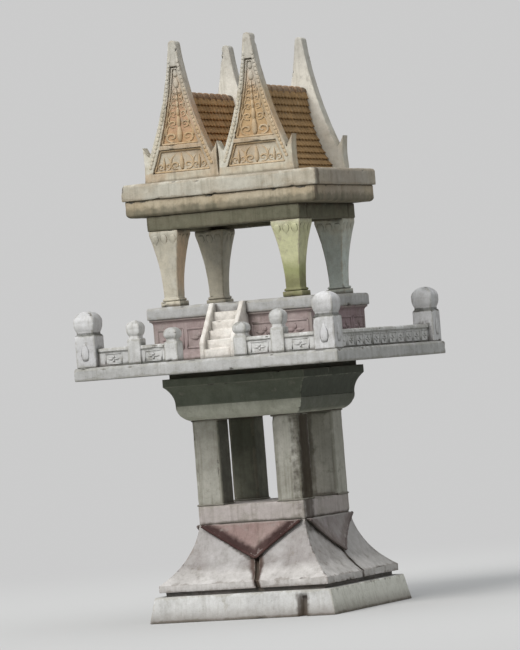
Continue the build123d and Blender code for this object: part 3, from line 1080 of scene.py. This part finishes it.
def foot_grooves(bm):
    """Marks the grooves of the foot for their dark paint, dirt and painted shade, and leans the front one."""
    narrow, widening, low, rise = 0.012, 0.014, 0.12, 0.05
    layer = bm.verts.layers.float.new("trim")
    for vert in bm.verts:
        across = min(abs(vert.co.x), abs(vert.co.y))
        spread = narrow + widening * unit((vert.co.z - low) / rise)
        stained = unit(1.5 - across / spread)
        if vert.co.z < APRON_TIP + 0.012:
            vert[layer] = stained if vert.co.y < FRONT_FACE else 0.5 * stained
        vert.co.x += front_lean(vert.co)


def apron_edges(bm):
    """Raises and marks a band along both raking edges of a pointed apron, and leans the front one."""
    band, proud, slant = 0.034, 0.0022, 0.53
    layer = bm.verts.layers.float.new("trim")
    bm.normal_update()
    for vert in bm.verts:
        across = min(abs(vert.co.x), abs(vert.co.y))
        inward = APRON_HALF * (vert.co.z - APRON_TIP) / (SILL_Z - APRON_TIP) - across
        banded = unit(1.3 - inward * slant / band)
        vert[layer] = banded
        if vert.normal.z > -0.2 and vert.co.z < SILL_Z - 0.001:
            vert.co += vert.normal * (proud * banded)
        vert.co.x += front_lean(vert.co)


def slab_break(bm):
    """The broken notch in the front face of the slab."""
    half, top, depth, in_front_of = 0.0125, 0.064, 0.026, -0.3
    for vert in bm.verts:
        if vert.co.y < in_front_of and vert.co.z < top and abs(vert.co.x - NOTCH_X) < half:
            vert.co.y += depth


# Cornice and terrace


class SPIRITHOUSE_OT_cornice(bpy.types.Operator):
    """Cast the two moulded courses that carry the terrace"""

    bl_idname = "spirit_house.cornice"
    bl_label = "Cornice"

    def execute(self, context):
        moss_and_painted_shade = paints().moss_and_painted_shade
        # Painted shade: the washes placed by right_side darken the right faces of both courses.
        right_side = ((0.3, 0.0, 0.73), (0.25, None, None), RIGHT)
        # The upper cornice's grey-green is moss, darkened further as painted shade under the terrace.
        algae_and_painted_shade = weathered(
            "cornice moss", moss_and_painted_shade, shade(moss_and_painted_shade, 0.8), (0.36, 0.36, 0.3),
            mould=0.5, streaks=0.4, wear=0.4, washes=[Wash(0.88, shade(moss_and_painted_shade, 0.36), *right_side)],
        )
        beige = weathered(
            "cornice beige", (0.82, 0.83, 0.73), (0.67, 0.68, 0.58), (0.38, 0.37, 0.3),
            mould=0.45, streaks=0.45, wear=0.35, washes=[Wash(0.83, shade(moss_and_painted_shade, 0.42), *right_side)],
        )
        cast("cornice_lower", "cornice_render", beige, seed=12.0, cell=0.01)
        cast("cornice_upper", "cornice_render", algae_and_painted_shade, seed=13.0, cell=0.01)
        return {"FINISHED"}


class SPIRITHOUSE_OT_terrace(bpy.types.Operator):
    """Cast the terrace slab, its low walls, corner posts and newels"""

    bl_idname = "spirit_house.terrace"
    bl_label = "Terrace"
    slot = "terrace_render"

    def execute(self, context):
        white = paints().white
        slab = weathered(
            "terrace white", shade(white, 0.76), shade(white, 0.66), (0.42, 0.41, 0.37),
            mould=0.5, streaks=0.3, wear=0.45,
        )
        walls = weathered(
            "wall white", shade(white, 0.97), shade(white, 0.78), (0.42, 0.41, 0.37),
            mould=0.45, streaks=0.35, wear=0.45,
        )
        # Painted shade: a dark band in mould colour under the posts' buds.
        bud_neck_painted_shade = Wash(0.9, MOULD, (0.0, 0.0, TERRACE_TOP + 0.1095), (None, None, 0.0065))
        posts = weathered(
            "post white", (0.79, 0.79, 0.81), (0.68, 0.68, 0.7), (0.46, 0.45, 0.41),
            mould=0.4, streaks=0.3, wear=0.4, stains_and_painted_shade=[bud_neck_painted_shade],
        )
        cast("terrace_slab", self.slot, slab, seed=14.0)
        for i, side in enumerate(("front_left", "front_right", "back", "left", "right")):
            cast(f"terrace_wall_{side}", self.slot, walls, seed=15.0 + i, cell=0.01)
        for i, corner in enumerate(CORNERS):
            cast(f"post_{corner}", self.slot, posts, seed=20.0 + i, cell=0.008)
        for i, side in enumerate(("left", "right")):
            cast(f"newel_{side}", self.slot, walls, seed=24.0 + i, cell=0.008, arris=0.002)
        self.panels(walls)
        self.petals(posts)
        return {"FINISHED"}

    def panels(self, finish):
        """Lozenge panels along both faces of the low walls."""
        coping_proud, middle_rise, first, pitch = 0.004, 0.0235, -0.354, 0.0708
        size = (0.0345, 0.034, 0.034)
        low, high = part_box("terrace_wall_back")
        outer, inner = high.y - coping_proud, low.y + coping_proud
        z = TERRACE_TOP + middle_rise
        whole_wall = [first + pitch * i for i in range(11)]
        front_walls = [-0.333, -0.189, 0.189, 0.333]
        places = []
        for quarter in range(4):
            turn = quarter_turn(quarter)
            for at in whole_wall if quarter else front_walls:
                for face, side in ((outer, -1), (inner, 1)):
                    point = turn @ Vector((at, -face, z))
                    places.append(Place(point, turn @ Vector((0, side, 0)), UP, size))
        repeated("wall_panels", finish, lozenge_panel_motif(), places)

    def petals(self, finish):
        """A petal on each face of the corner posts."""
        face, middle_rise = 0.0355, 0.054
        z = TERRACE_TOP + middle_rise
        petals = []
        for side_x, side_y in CORNERS.values():
            for quarter in range(4):
                facing = quarter_turn(quarter) @ Vector((0, -1, 0))
                point = Vector((side_x * POST_LINE, side_y * POST_LINE, z)) + facing * face
                petals.append(Place(point, facing, UP, (0.032, 0.062, 0.016)))
        repeated("post_petals", finish, petal_motif(), petals)


# Plinth, floor and stair


class SPIRITHOUSE_OT_floor(bpy.types.Operator):
    """Cast the house plinth, its floor slab and the stair"""

    bl_idname = "spirit_house.floor"
    bl_label = "Plinth and Stair"

    def execute(self, context):
        white = paints().white
        purple_side = Wash(0.75, (0.34, 0.25, 0.27), (0.29, 0.0, 0.93), (0.03, 0.3, 0.1), RIGHT)
        plinth = weathered(
            "plinth mauve", paints().mauve, (0.45, 0.372, 0.363), (0.4, 0.36, 0.33),
            mould=0.5, streaks=0.45, wear=0.45, washes=[purple_side],
        )
        floor = weathered(
            "floor white", shade(white, 0.68), shade(white, 0.58), (0.42, 0.4, 0.36),
            mould=0.4, streaks=0.3, wear=0.4,
        )
        stair = weathered(
            "stair white", (0.93, 0.9, 0.86), (0.86, 0.81, 0.76), (0.66, 0.61, 0.55),
            mould=0.15, streaks=0.15, wear=0.3, grime=0.3,
        )
        cast("house_plinth", "plinth_paint", plinth, seed=30.0)
        cast("house_floor", "terrace_render", floor, seed=31.0)
        cast("front_stair", "terrace_render", stair, seed=32.0, cell=0.009, arris=0.0025)
        cast("stair_cheeks", "terrace_render", stair, seed=33.0, cell=0.009, arris=0.0025)
        self.panels(plinth)
        return {"FINISHED"}

    def panels(self, finish):
        """Lozenge panels on the plinth's faces, between its base and crown mouldings."""
        base_proud, base_height, crown_height = 0.012, 0.024, 0.02
        size = (0.054, 0.062, 0.05)
        low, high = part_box("house_plinth")
        half_x, half_y = high.x - base_proud, high.y - base_proud
        centre_z = (low.z + base_height + high.z - crown_height) / 2
        places = []
        for side in (-1, 1):
            for at in (-0.225, -0.118, 0.118, 0.225):
                places.append(Place((at, side * half_y, centre_z), (0, side, 0), UP, size))
            for at in (-0.165, -0.055, 0.055, 0.165):
                places.append(Place((side * half_x, at, centre_z), (side, 0, 0), UP, size))
        repeated("plinth_panels", finish, lozenge_panel_motif(), places)


# Columns, beams and eaves


def column_finish():
    front_right = (COLUMN.x, -COLUMN.y)
    green = Wash(0.8, (0.72, 0.73, 0.42), (*front_right, 1.19), (0.08, 0.08, 0.12))
    deep_green = Wash(0.8, (0.3, 0.32, 0.13), (*front_right, 1.085), (0.07, 0.07, 0.075))
    blue_grey = Wash(0.85, (0.64, 0.71, 0.68), (COLUMN.x, COLUMN.y, 1.15), (0.06, 0.06, 0.14))
    # Painted light: the right side of the front-left column is lightened, in a warm tone.
    orange_painted_light_side = Wash(0.9, (0.95, 0.71, 0.5), (-0.19, -COLUMN.y, 1.18), (0.03, 0.06, 0.11), RIGHT)
    damp_foot = Wash(0.75, (0.16, 0.15, 0.07), (*front_right, FLOOR_TOP + 0.02), (0.06, 0.06, 0.055))
    return weathered(
        "column cream", shade(paints().cream, 1.06), (0.62, 0.59, 0.51), (0.48, 0.42, 0.32),
        mould=0.4, streaks=0.5, wear=0.4, stains_and_painted_shade=[damp_foot],
        washes=[green, deep_green, blue_grey, orange_painted_light_side],
    )


class SPIRITHOUSE_OT_columns(bpy.types.Operator):
    """Cast the four columns"""

    bl_idname = "spirit_house.columns"
    bl_label = "Columns"

    def execute(self, context):
        cream = column_finish()
        for i, corner in enumerate(CORNERS):
            cast(f"column_{corner}", "column_paint", cream, seed=34.0 + i, cell=0.008, arris=0.0025)
        self.petals(cream)
        return {"FINISHED"}

    def petals(self, finish):
        """Petals that hang from the abacus over the spreading faces of each capital."""
        reach, lean, hang, pitch = 0.0476, math.radians(13), 0.0315, 0.031
        places = []
        for side_x, side_y in CORNERS.values():
            centre = Vector((side_x * COLUMN.x, side_y * COLUMN.y, BEAM_Z - hang))
            for quarter in range(4):
                turn = quarter_turn(quarter)
                facing = turn @ Vector((0, -math.cos(lean), -math.sin(lean)))
                down = turn @ Vector((0, math.sin(lean), -math.cos(lean)))
                for at in (-pitch, 0.0, pitch):
                    point = centre + turn @ Vector((at, -reach, 0))
                    places.append(Place(point, facing, down, (0.027, 0.035, 0.011)))
        repeated("capital_petals", finish, petal_motif(), places)


class SPIRITHOUSE_OT_eaves(bpy.types.Operator):
    """Cast the beams and the two courses of the eaves"""

    bl_idname = "spirit_house.eaves"
    bl_label = "Beams and Eaves"

    def execute(self, context):
        beam = weathered(
            "beam beige", (0.205, 0.19, 0.135), (0.165, 0.16, 0.11), (0.14, 0.125, 0.085),
            mould=0.5, streaks=0.5, wear=0.5,
        )
        # dun darkens the right side of both eave courses as painted shade.
        soot, dun, olive = (0.07, 0.042, 0.026), (0.36, 0.31, 0.27), (0.14, 0.13, 0.09)
        soot_size, side_size = (0.016, 0.016, 0.04), (0.03, 0.25, None)
        upper = weathered(
            "eave cream", (0.64, 0.61, 0.53), (0.56, 0.5, 0.4), (0.46, 0.39, 0.3),
            mould=0.45, streaks=0.4, wear=0.45, stains_and_painted_shade=[Wash(0.8, soot, (0.352, -0.237, 1.42), soot_size)],
            washes=[Wash(0.6, dun, (0.36, 0.0, 1.42), side_size, RIGHT)],
        )
        shaded_edge = Wash(0.95, olive, (0.0, 0.0, BEAM_Z + 0.052), (None, None, 0.03))
        lower = weathered(
            "eave straw", (0.62, 0.54, 0.41), (0.52, 0.43, 0.3), (0.42, 0.34, 0.25),
            mould=0.45, streaks=0.4, wear=0.45,
            stains_and_painted_shade=[Wash(0.8, soot, (0.347, -0.237, 1.36), soot_size), shaded_edge],
            washes=[Wash(0.6, dun, (0.35, 0.0, 1.36), side_size, RIGHT)],
        )
        for i, side in enumerate(("front", "back", "left", "right")):
            cast(f"beam_{side}", "beam_paint", beam, seed=38.0 + i, cell=0.011)
        cast("eave_lower", "eave_paint", lower, seed=42.0)
        cast("eave_upper", "eave_paint", upper, seed=43.0)
        return {"FINISHED"}


# Gables


def slope_half(t):
    """Half width of a gable board, t of the way up its slope."""
    bottom, top, hollow = 0.112, 0.013, 0.0135
    return bottom + (top - bottom) * t - 4 * hollow * t * (1 - t)


def field_half(rise):
    """Half width of the sunk field, at a height over the eaves."""
    slope_foot = 0.010
    return slope_half((rise - slope_foot) / GABLE_RISE)


def field_outline(low, high, inset):
    """The edge of the sunk field between two heights, moved in, as (across, rise) points."""
    slant = 1.03
    low, high = low + inset, high - inset
    side = []
    for i in range(13):
        rise = low + (high - low) * i / 12
        side.append((field_half(rise) - inset * slant, rise))
    return side + [(-across, rise) for across, rise in reversed(side)]


def gable_border(bm):
    """Marks the left raking border of a board, outside its sunk field, which keeps paler paint."""
    bottom, top, blur = 0.03, 0.37, 0.006
    layer = bm.verts.layers.float.new("trim")
    board_x = math.copysign(GABLE_LINE, sum(vert.co.x for vert in bm.verts))
    for vert in bm.verts:
        rise = min(top, vert.co.z - ROOF_Z)
        past = board_x - vert.co.x - field_half(rise)
        vert[layer] = unit(0.5 + past / blur) if rise > bottom else 0.0


def board_finishes(tip):
    """The finishes of the front and the back boards."""
    p = paints()
    tan = Wash(0.65, shade(p.gold, 1.15), (0.0, 0.0, 1.645), (1.0, 1.0, 0.09))
    blush = Wash(0.38, (0.66, 0.42, 0.32), (-0.125, 0.0, 1.66), (0.07, None, 0.075))
    straw = Wash(0.4, (0.66, 0.5, 0.27), (GABLE_LINE, 0.0, 1.66), (0.08, None, 0.09))
    # Painted light: the back boards' front faces are lightened, where the front boards and roofs shade them.
    painted_light_back_face = Wash(0.75, (0.98, 0.95, 0.87), (0.0, 0.0, ROOF_Z + 0.25), (None, None, 0.15), FRONT)
    front = weathered(
        "gable cream", shade(p.cream, 1.04), (0.62, 0.49, 0.35), (0.46, 0.4, 0.32),
        mould=0.3, streaks=0.45, wear=0.45, grime=0.3, washes=[tan, blush, straw, tip],
        field=(shade(p.gold, 1.15), shade(p.gold, 1.4)), trim=((0.78, 0.75, 0.66), (0.7, 0.65, 0.53)),
    )
    back = weathered(
        "gable grey", (0.7, 0.68, 0.62), (0.64, 0.59, 0.5), (0.5, 0.47, 0.41),
        mould=0.3, streaks=0.4, wear=0.45, grime=0.08, washes=[tip, painted_light_back_face],
        field=(p.gold, shade(p.gold, 1.25)),
    )
    return front, back


class SPIRITHOUSE_OT_gables(bpy.types.Operator):
    """Cast the four pointed gable boards and their relief"""

    bl_idname = "spirit_house.gables"
    bl_label = "Gables"
    slot = "gable_paint"

    def execute(self, context):
        tip = Wash(0.85, (0.68, 0.66, 0.61), (0.0, 0.0, 1.9), (1.0, 1.0, 0.19))
        front, back = board_finishes(tip)
        relief = weathered(
            "relief cream", (0.7, 0.56, 0.39), (0.64, 0.46, 0.27), (0.54, 0.47, 0.38),
            mould=0.25, streaks=0.4, wear=0.5, grime=0.25, washes=[tip],
        )
        scale = weathered(
            "scale cream", (0.76, 0.7, 0.58), (0.68, 0.6, 0.47), (0.58, 0.53, 0.45),
            mould=0.25, streaks=0.4, wear=0.5, grime=0.2, washes=[tip],
        )
        carving = {"cell": 0.008, "arris": 0.003, "dent": gable_border}
        for i, corner in enumerate(CORNERS):
            finish = front if corner.startswith("front") else back
            cast(f"gable_{corner}", self.slot, finish, seed=44.0 + i, **carving)
        self.beads(relief)
        self.scrolls(relief)
        self.leaves(relief)
        self.scales("gable_scales_left", scale, -1)
        self.scales("gable_scales_right", relief, 1)
        return {"FINISHED"}

    def beads(self, finish):
        """A bead along the inside of each sunk field."""
        radius, inset, ground = 0.0036, 0.0035, GABLE_FACE - 0.009
        lines = []
        for side_x, side_y in CORNERS.values():
            for low, high in (LOWER_FIELD, UPPER_FIELD):
                outline = field_outline(low, high, inset)
                lines.append([(side_x * GABLE_LINE + u, side_y * ground, ROOF_Z + v) for u, v in outline])
        bead("gable_beads", finish, lines, radius, closed=True)

    def scrolls(self, finish):
        """Tiers of flame scrolls that get smaller up to the point, and three in the panel below."""
        depth, first, last = 0.14, 0.122, 0.29
        filled, margin, above, proportion, least, overlap = 1.86, 0.008, 0.014, 0.74, 0.03, 0.62
        motifs = [(0.0, 0.034, (0.085, 0.062, depth))]
        motifs += [(across, 0.036, (0.05, 0.05, depth)) for across in (-0.064, 0.064)]
        rise = first
        while rise < last:
            wide = filled * (field_half(rise + above) - margin)
            high = max(least, wide * proportion)
            motifs.append((0.0, rise, (wide, high, depth)))
            rise += high * overlap
        repeated("gable_scrolls", finish, flame_scroll_motif(), self.on_fields(motifs))

    def leaves(self, finish):
        """Two leaves over the scrolls, in the point of each field."""
        motifs = [(0.0, 0.358, (0.019, 0.034, 0.016)), (0.0, 0.322, (0.022, 0.034, 0.016))]
        repeated("gable_leaves", finish, petal_motif(), self.on_fields(motifs))

    def on_fields(self, motifs):
        """The places of (across, rise, size) motifs on the fields of all four boards."""
        ground = GABLE_FACE - 0.0125
        places = []
        for side_x, side_y in CORNERS.values():
            for across, rise, size in motifs:
                point = (side_x * GABLE_LINE + across, side_y * ground, ROOF_Z + rise)
                places.append(Place(point, (0, side_y, 0), UP, size))
        return places

    def scales(self, name, finish, side):
        """Pointed scales up the raking edges on one side of the boards."""
        foot_rise, start, end = 0.046, 0.015, 0.95
        spacing, size = 0.0135, (0.0115, 0.016, 0.009)
        lines = []
        for side_x, side_y in CORNERS.values():
            line = []
            for i in range(25):
                t = start + (end - start) * i / 24
                narrowing = slope_half(t + 0.01) - slope_half(t)
                up = Vector((side * narrowing, 0.0, 0.01 * GABLE_RISE)).normalized()
                point_x = side_x * GABLE_LINE + side * slope_half(t)
                point = (point_x, side_y * GABLE_FACE, ROOF_Z + foot_rise + GABLE_RISE * t)
                line.append(Place(point, (0, side_y, 0), up, size))
            lines.append(line)
        repeated(name, finish, petal_motif(), lines, spacing)


# Roofs


def slope_line(centre_x, side, steps=24):
    """The points up one hollow slope of a roof, from the eave to the last course."""
    eave_half, ridge_half, hollow = 0.092, 0.012, 0.0208
    last = 1 - 1 / TILE_ROWS
    points = []
    for i in range(steps + 1):
        t = last * i / steps
        out = eave_half + (ridge_half - eave_half) * t - hollow * 4 * t * (1 - t)
        points.append((centre_x + side * out, 0.0, ROOF_Z + RIDGE_RISE * t))
    return points


class SPIRITHOUSE_OT_roofs(bpy.types.Operator):
    """Cast the twin roofs, their tile courses and ridge caps"""

    bl_idname = "spirit_house.roofs"
    bl_label = "Roofs"
    slot = "roof_paint"

    def execute(self, context):
        tile = paints().tile
        # Painted light: the inner slopes between the two roofs are lightened, where the gables shade them.
        glow = Wash(0.85, (0.88, 0.56, 0.31), (0.0, 0.0, ROOF_Z + 0.15), (0.1, None, None))
        finish = weathered(
            "roof tile", shade(tile, 1.12), shade(tile, 1.5), (0.46, 0.34, 0.22),
            mould=0.4, streaks=0.35, wear=0.5, grime=0.35, washes=[glow],
        )
        motif = tile_motif(width=0.0258, exposure=TILE_EXPOSURE, lip=0.005)
        for i, (name, side) in enumerate((("left", -1), ("right", 1))):
            cast(f"roof_{name}", self.slot, finish, seed=48.0 + i)
            for slope, turn in (("outer", side), ("inner", -side)):
                self.tiles(f"roof_tiles_{name}_{slope}", finish, motif, side * GABLE_LINE, turn)
        bpy.data.objects.remove(motif)
        self.ridges()
        return {"FINISHED"}

    def tiles(self, name, finish, motif, centre_x, side):
        """Tile courses up one slope of a roof, a row on each of its steps."""
        source = lines_object(name + "_line", [slope_line(centre_x, side)])
        values = {"Side": float(side), "Exposure": TILE_EXPOSURE * 0.995, "Tile": motif, "Finish": finish}
        house_piece(run_rule(tiles_rule(), source, values, name))

    def ridges(self):
        """A row of ridge caps on each roof."""
        clay = weathered(
            "ridge clay", (0.42, 0.29, 0.19), (0.36, 0.22, 0.13), (0.46, 0.38, 0.29),
            mould=0.35, streaks=0.3, wear=0.5,
        )
        front_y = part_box("roof_left")[0].y
        caps = []
        for side in (-1, 1):
            for cap in range(8):
                point = (side * GABLE_LINE, front_y + CAP_LENGTH * (cap + 0.5), ROOF_Z + RIDGE_RISE)
                caps.append(Place(point, UP, (1, 0, 0), (1.0, 1.0, 1.0)))
        repeated("ridge_caps", clay, ridge_cap_motif(RIDGE_RADIUS, CAP_LENGTH), caps)


# Stage


def blank_tree(owner):
    """The emptied node tree of a material or world."""
    owner.use_nodes = True
    owner.node_tree.nodes.clear()
    return Tree(owner.node_tree)


class SPIRITHOUSE_OT_stage(bpy.types.Operator):
    """Set the floor, the soft light and the camera"""

    bl_idname = "spirit_house.stage"
    bl_label = "Stage"

    def execute(self, context):
        s = context.scene.spirit_house_stage
        self.floor(s)
        self.surroundings(s)
        self.key_light(s)
        self.camera(s)
        context.scene.view_settings.view_transform = "Standard"
        return {"FINISHED"}

    def floor(self, s):
        """A wide floor that fades into the backdrop, and keeps the object's shadow near it."""
        reach, fade_start, fade_end = 90.0, 1.2, 4.5
        corners = [(-reach, -reach, 0), (reach, -reach, 0), (reach, reach, 0), (-reach, reach, 0)]
        mesh = bpy.data.meshes.new("floor")
        mesh.from_pydata(corners, [], [(0, 1, 2, 3)])
        material = bpy.data.materials.new("floor")
        tree = blank_tree(material)
        point = tree.add("ShaderNodeTexCoord")["Object"]
        away = tree.add("ShaderNodeVectorMath", {0: point}, operation="LENGTH")["Value"]
        faded = away.step(fade_start, fade_end)
        seen = tree.backdrop_rays()
        lit = tree.add("ShaderNodeBsdfDiffuse", {"Color": colour(s.floor)})[0]
        dull = tree.add("ShaderNodeBsdfDiffuse", {"Color": (0.22, 0.22, 0.2, 1.0)})[0]
        far = tree.add("ShaderNodeEmission", {"Color": colour(s.floor), "Strength": 1.0})[0]
        near = tree.add("ShaderNodeMixShader", {0: seen, 1: dull, 2: lit})[0]
        both = tree.add("ShaderNodeMixShader", {0: seen * faded, 1: near, 2: far})[0]
        tree.add("ShaderNodeOutputMaterial", {0: both})
        mesh.materials.append(material)
        link("floor", mesh)

    def surroundings(self, s):
        """Soft light from all round, brighter from above, behind a plain backdrop."""
        from_below, more_above = 0.45, 0.9
        world = bpy.data.worlds.new("studio")
        bpy.context.scene.world = world
        tree = blank_tree(world)
        seen = tree.backdrop_rays()
        direction = tree.split(tree.add("ShaderNodeTexCoord")["Generated"])
        glow = from_below + direction[2].step(-0.1, 1.0) * more_above
        sky = tree.add("ShaderNodeBackground", {"Color": (0.97, 0.99, 1.0, 1.0), "Strength": glow * s.sky})[0]
        backdrop = tree.add("ShaderNodeBackground", {"Color": colour(s.floor), "Strength": 1.0})[0]
        both = tree.add("ShaderNodeMixShader", {0: seen, 1: sky, 2: backdrop})[0]
        tree.add("ShaderNodeOutputWorld", {0: both})

    def key_light(self, s):
        key = bpy.data.lights.new("key", "SUN")
        key.energy = s.sun
        key.angle = math.radians(34)
        key.color = (1.0, 0.985, 0.955)
        lamp = link("key", key)
        towards = Vector((0.27, 0.9, -0.78))
        lamp.rotation_mode = "QUATERNION"
        lamp.rotation_quaternion = towards.to_track_quat("-Z", "Y")

    def camera(self, s):
        data = bpy.data.cameras.new("camera")
        camera = link("camera", data)
        bpy.context.scene.camera = camera
        low, high = CAD_BOX
        target = Vector((0.0, 0.0, (low.z + high.z) / 2))
        at = Vector((math.sin(s.azimuth) * s.distance, -math.cos(s.azimuth) * s.distance, s.eye))
        sight = target - at
        camera.location = at
        camera.rotation_mode = "QUATERNION"
        roll = Matrix.Rotation(-s.roll, 4, "Z").to_quaternion()
        camera.rotation_quaternion = sight.to_track_quat("-Z", "Y") @ roll
        data.sensor_width = 36.0
        data.lens = data.sensor_width * sight.length / s.height
        data.clip_start = 0.1
        data.clip_end = 400.0


# Add-on


class SPIRITHOUSE_PT_panel(bpy.types.Panel):
    """The house's pieces and their settings"""

    bl_idname = "SPIRITHOUSE_PT_panel"
    bl_label = "Spirit House"
    bl_space_type = "VIEW_3D"
    bl_region_type = "UI"
    bl_category = "Spirit House"

    def draw(self, context):
        for group_name, group in GROUPS.items():
            box = self.layout.box()
            for name in group.__annotations__:
                box.prop(getattr(context.scene, group_name), name)
        for operator in OPERATORS:
            self.layout.operator(operator.bl_idname)


GROUPS = {
    "spirit_house_casting": SpiritHouseCasting,
    "spirit_house_paint": SpiritHousePaint,
    "spirit_house_stage": SpiritHouseStage,
}
OPERATORS = (
    SPIRITHOUSE_OT_pedestal,
    SPIRITHOUSE_OT_cornice,
    SPIRITHOUSE_OT_terrace,
    SPIRITHOUSE_OT_floor,
    SPIRITHOUSE_OT_columns,
    SPIRITHOUSE_OT_eaves,
    SPIRITHOUSE_OT_gables,
    SPIRITHOUSE_OT_roofs,
    SPIRITHOUSE_OT_stage,
)


def register():
    for name, group in GROUPS.items():
        bpy.utils.register_class(group)
        setattr(bpy.types.Scene, name, bpy.props.PointerProperty(type=group))
    for operator in OPERATORS:
        bpy.utils.register_class(operator)
    bpy.utils.register_class(SPIRITHOUSE_PT_panel)


def unregister():
    bpy.utils.unregister_class(SPIRITHOUSE_PT_panel)
    for operator in reversed(OPERATORS):
        bpy.utils.unregister_class(operator)
    for name, group in reversed(GROUPS.items()):
        delattr(bpy.types.Scene, name)
        bpy.utils.unregister_class(group)


def main():
    register()
    for operator in OPERATORS:
        family, action = operator.bl_idname.split(".")
        getattr(getattr(bpy.ops, family), action)()


if __name__ == "__main__":
    main()
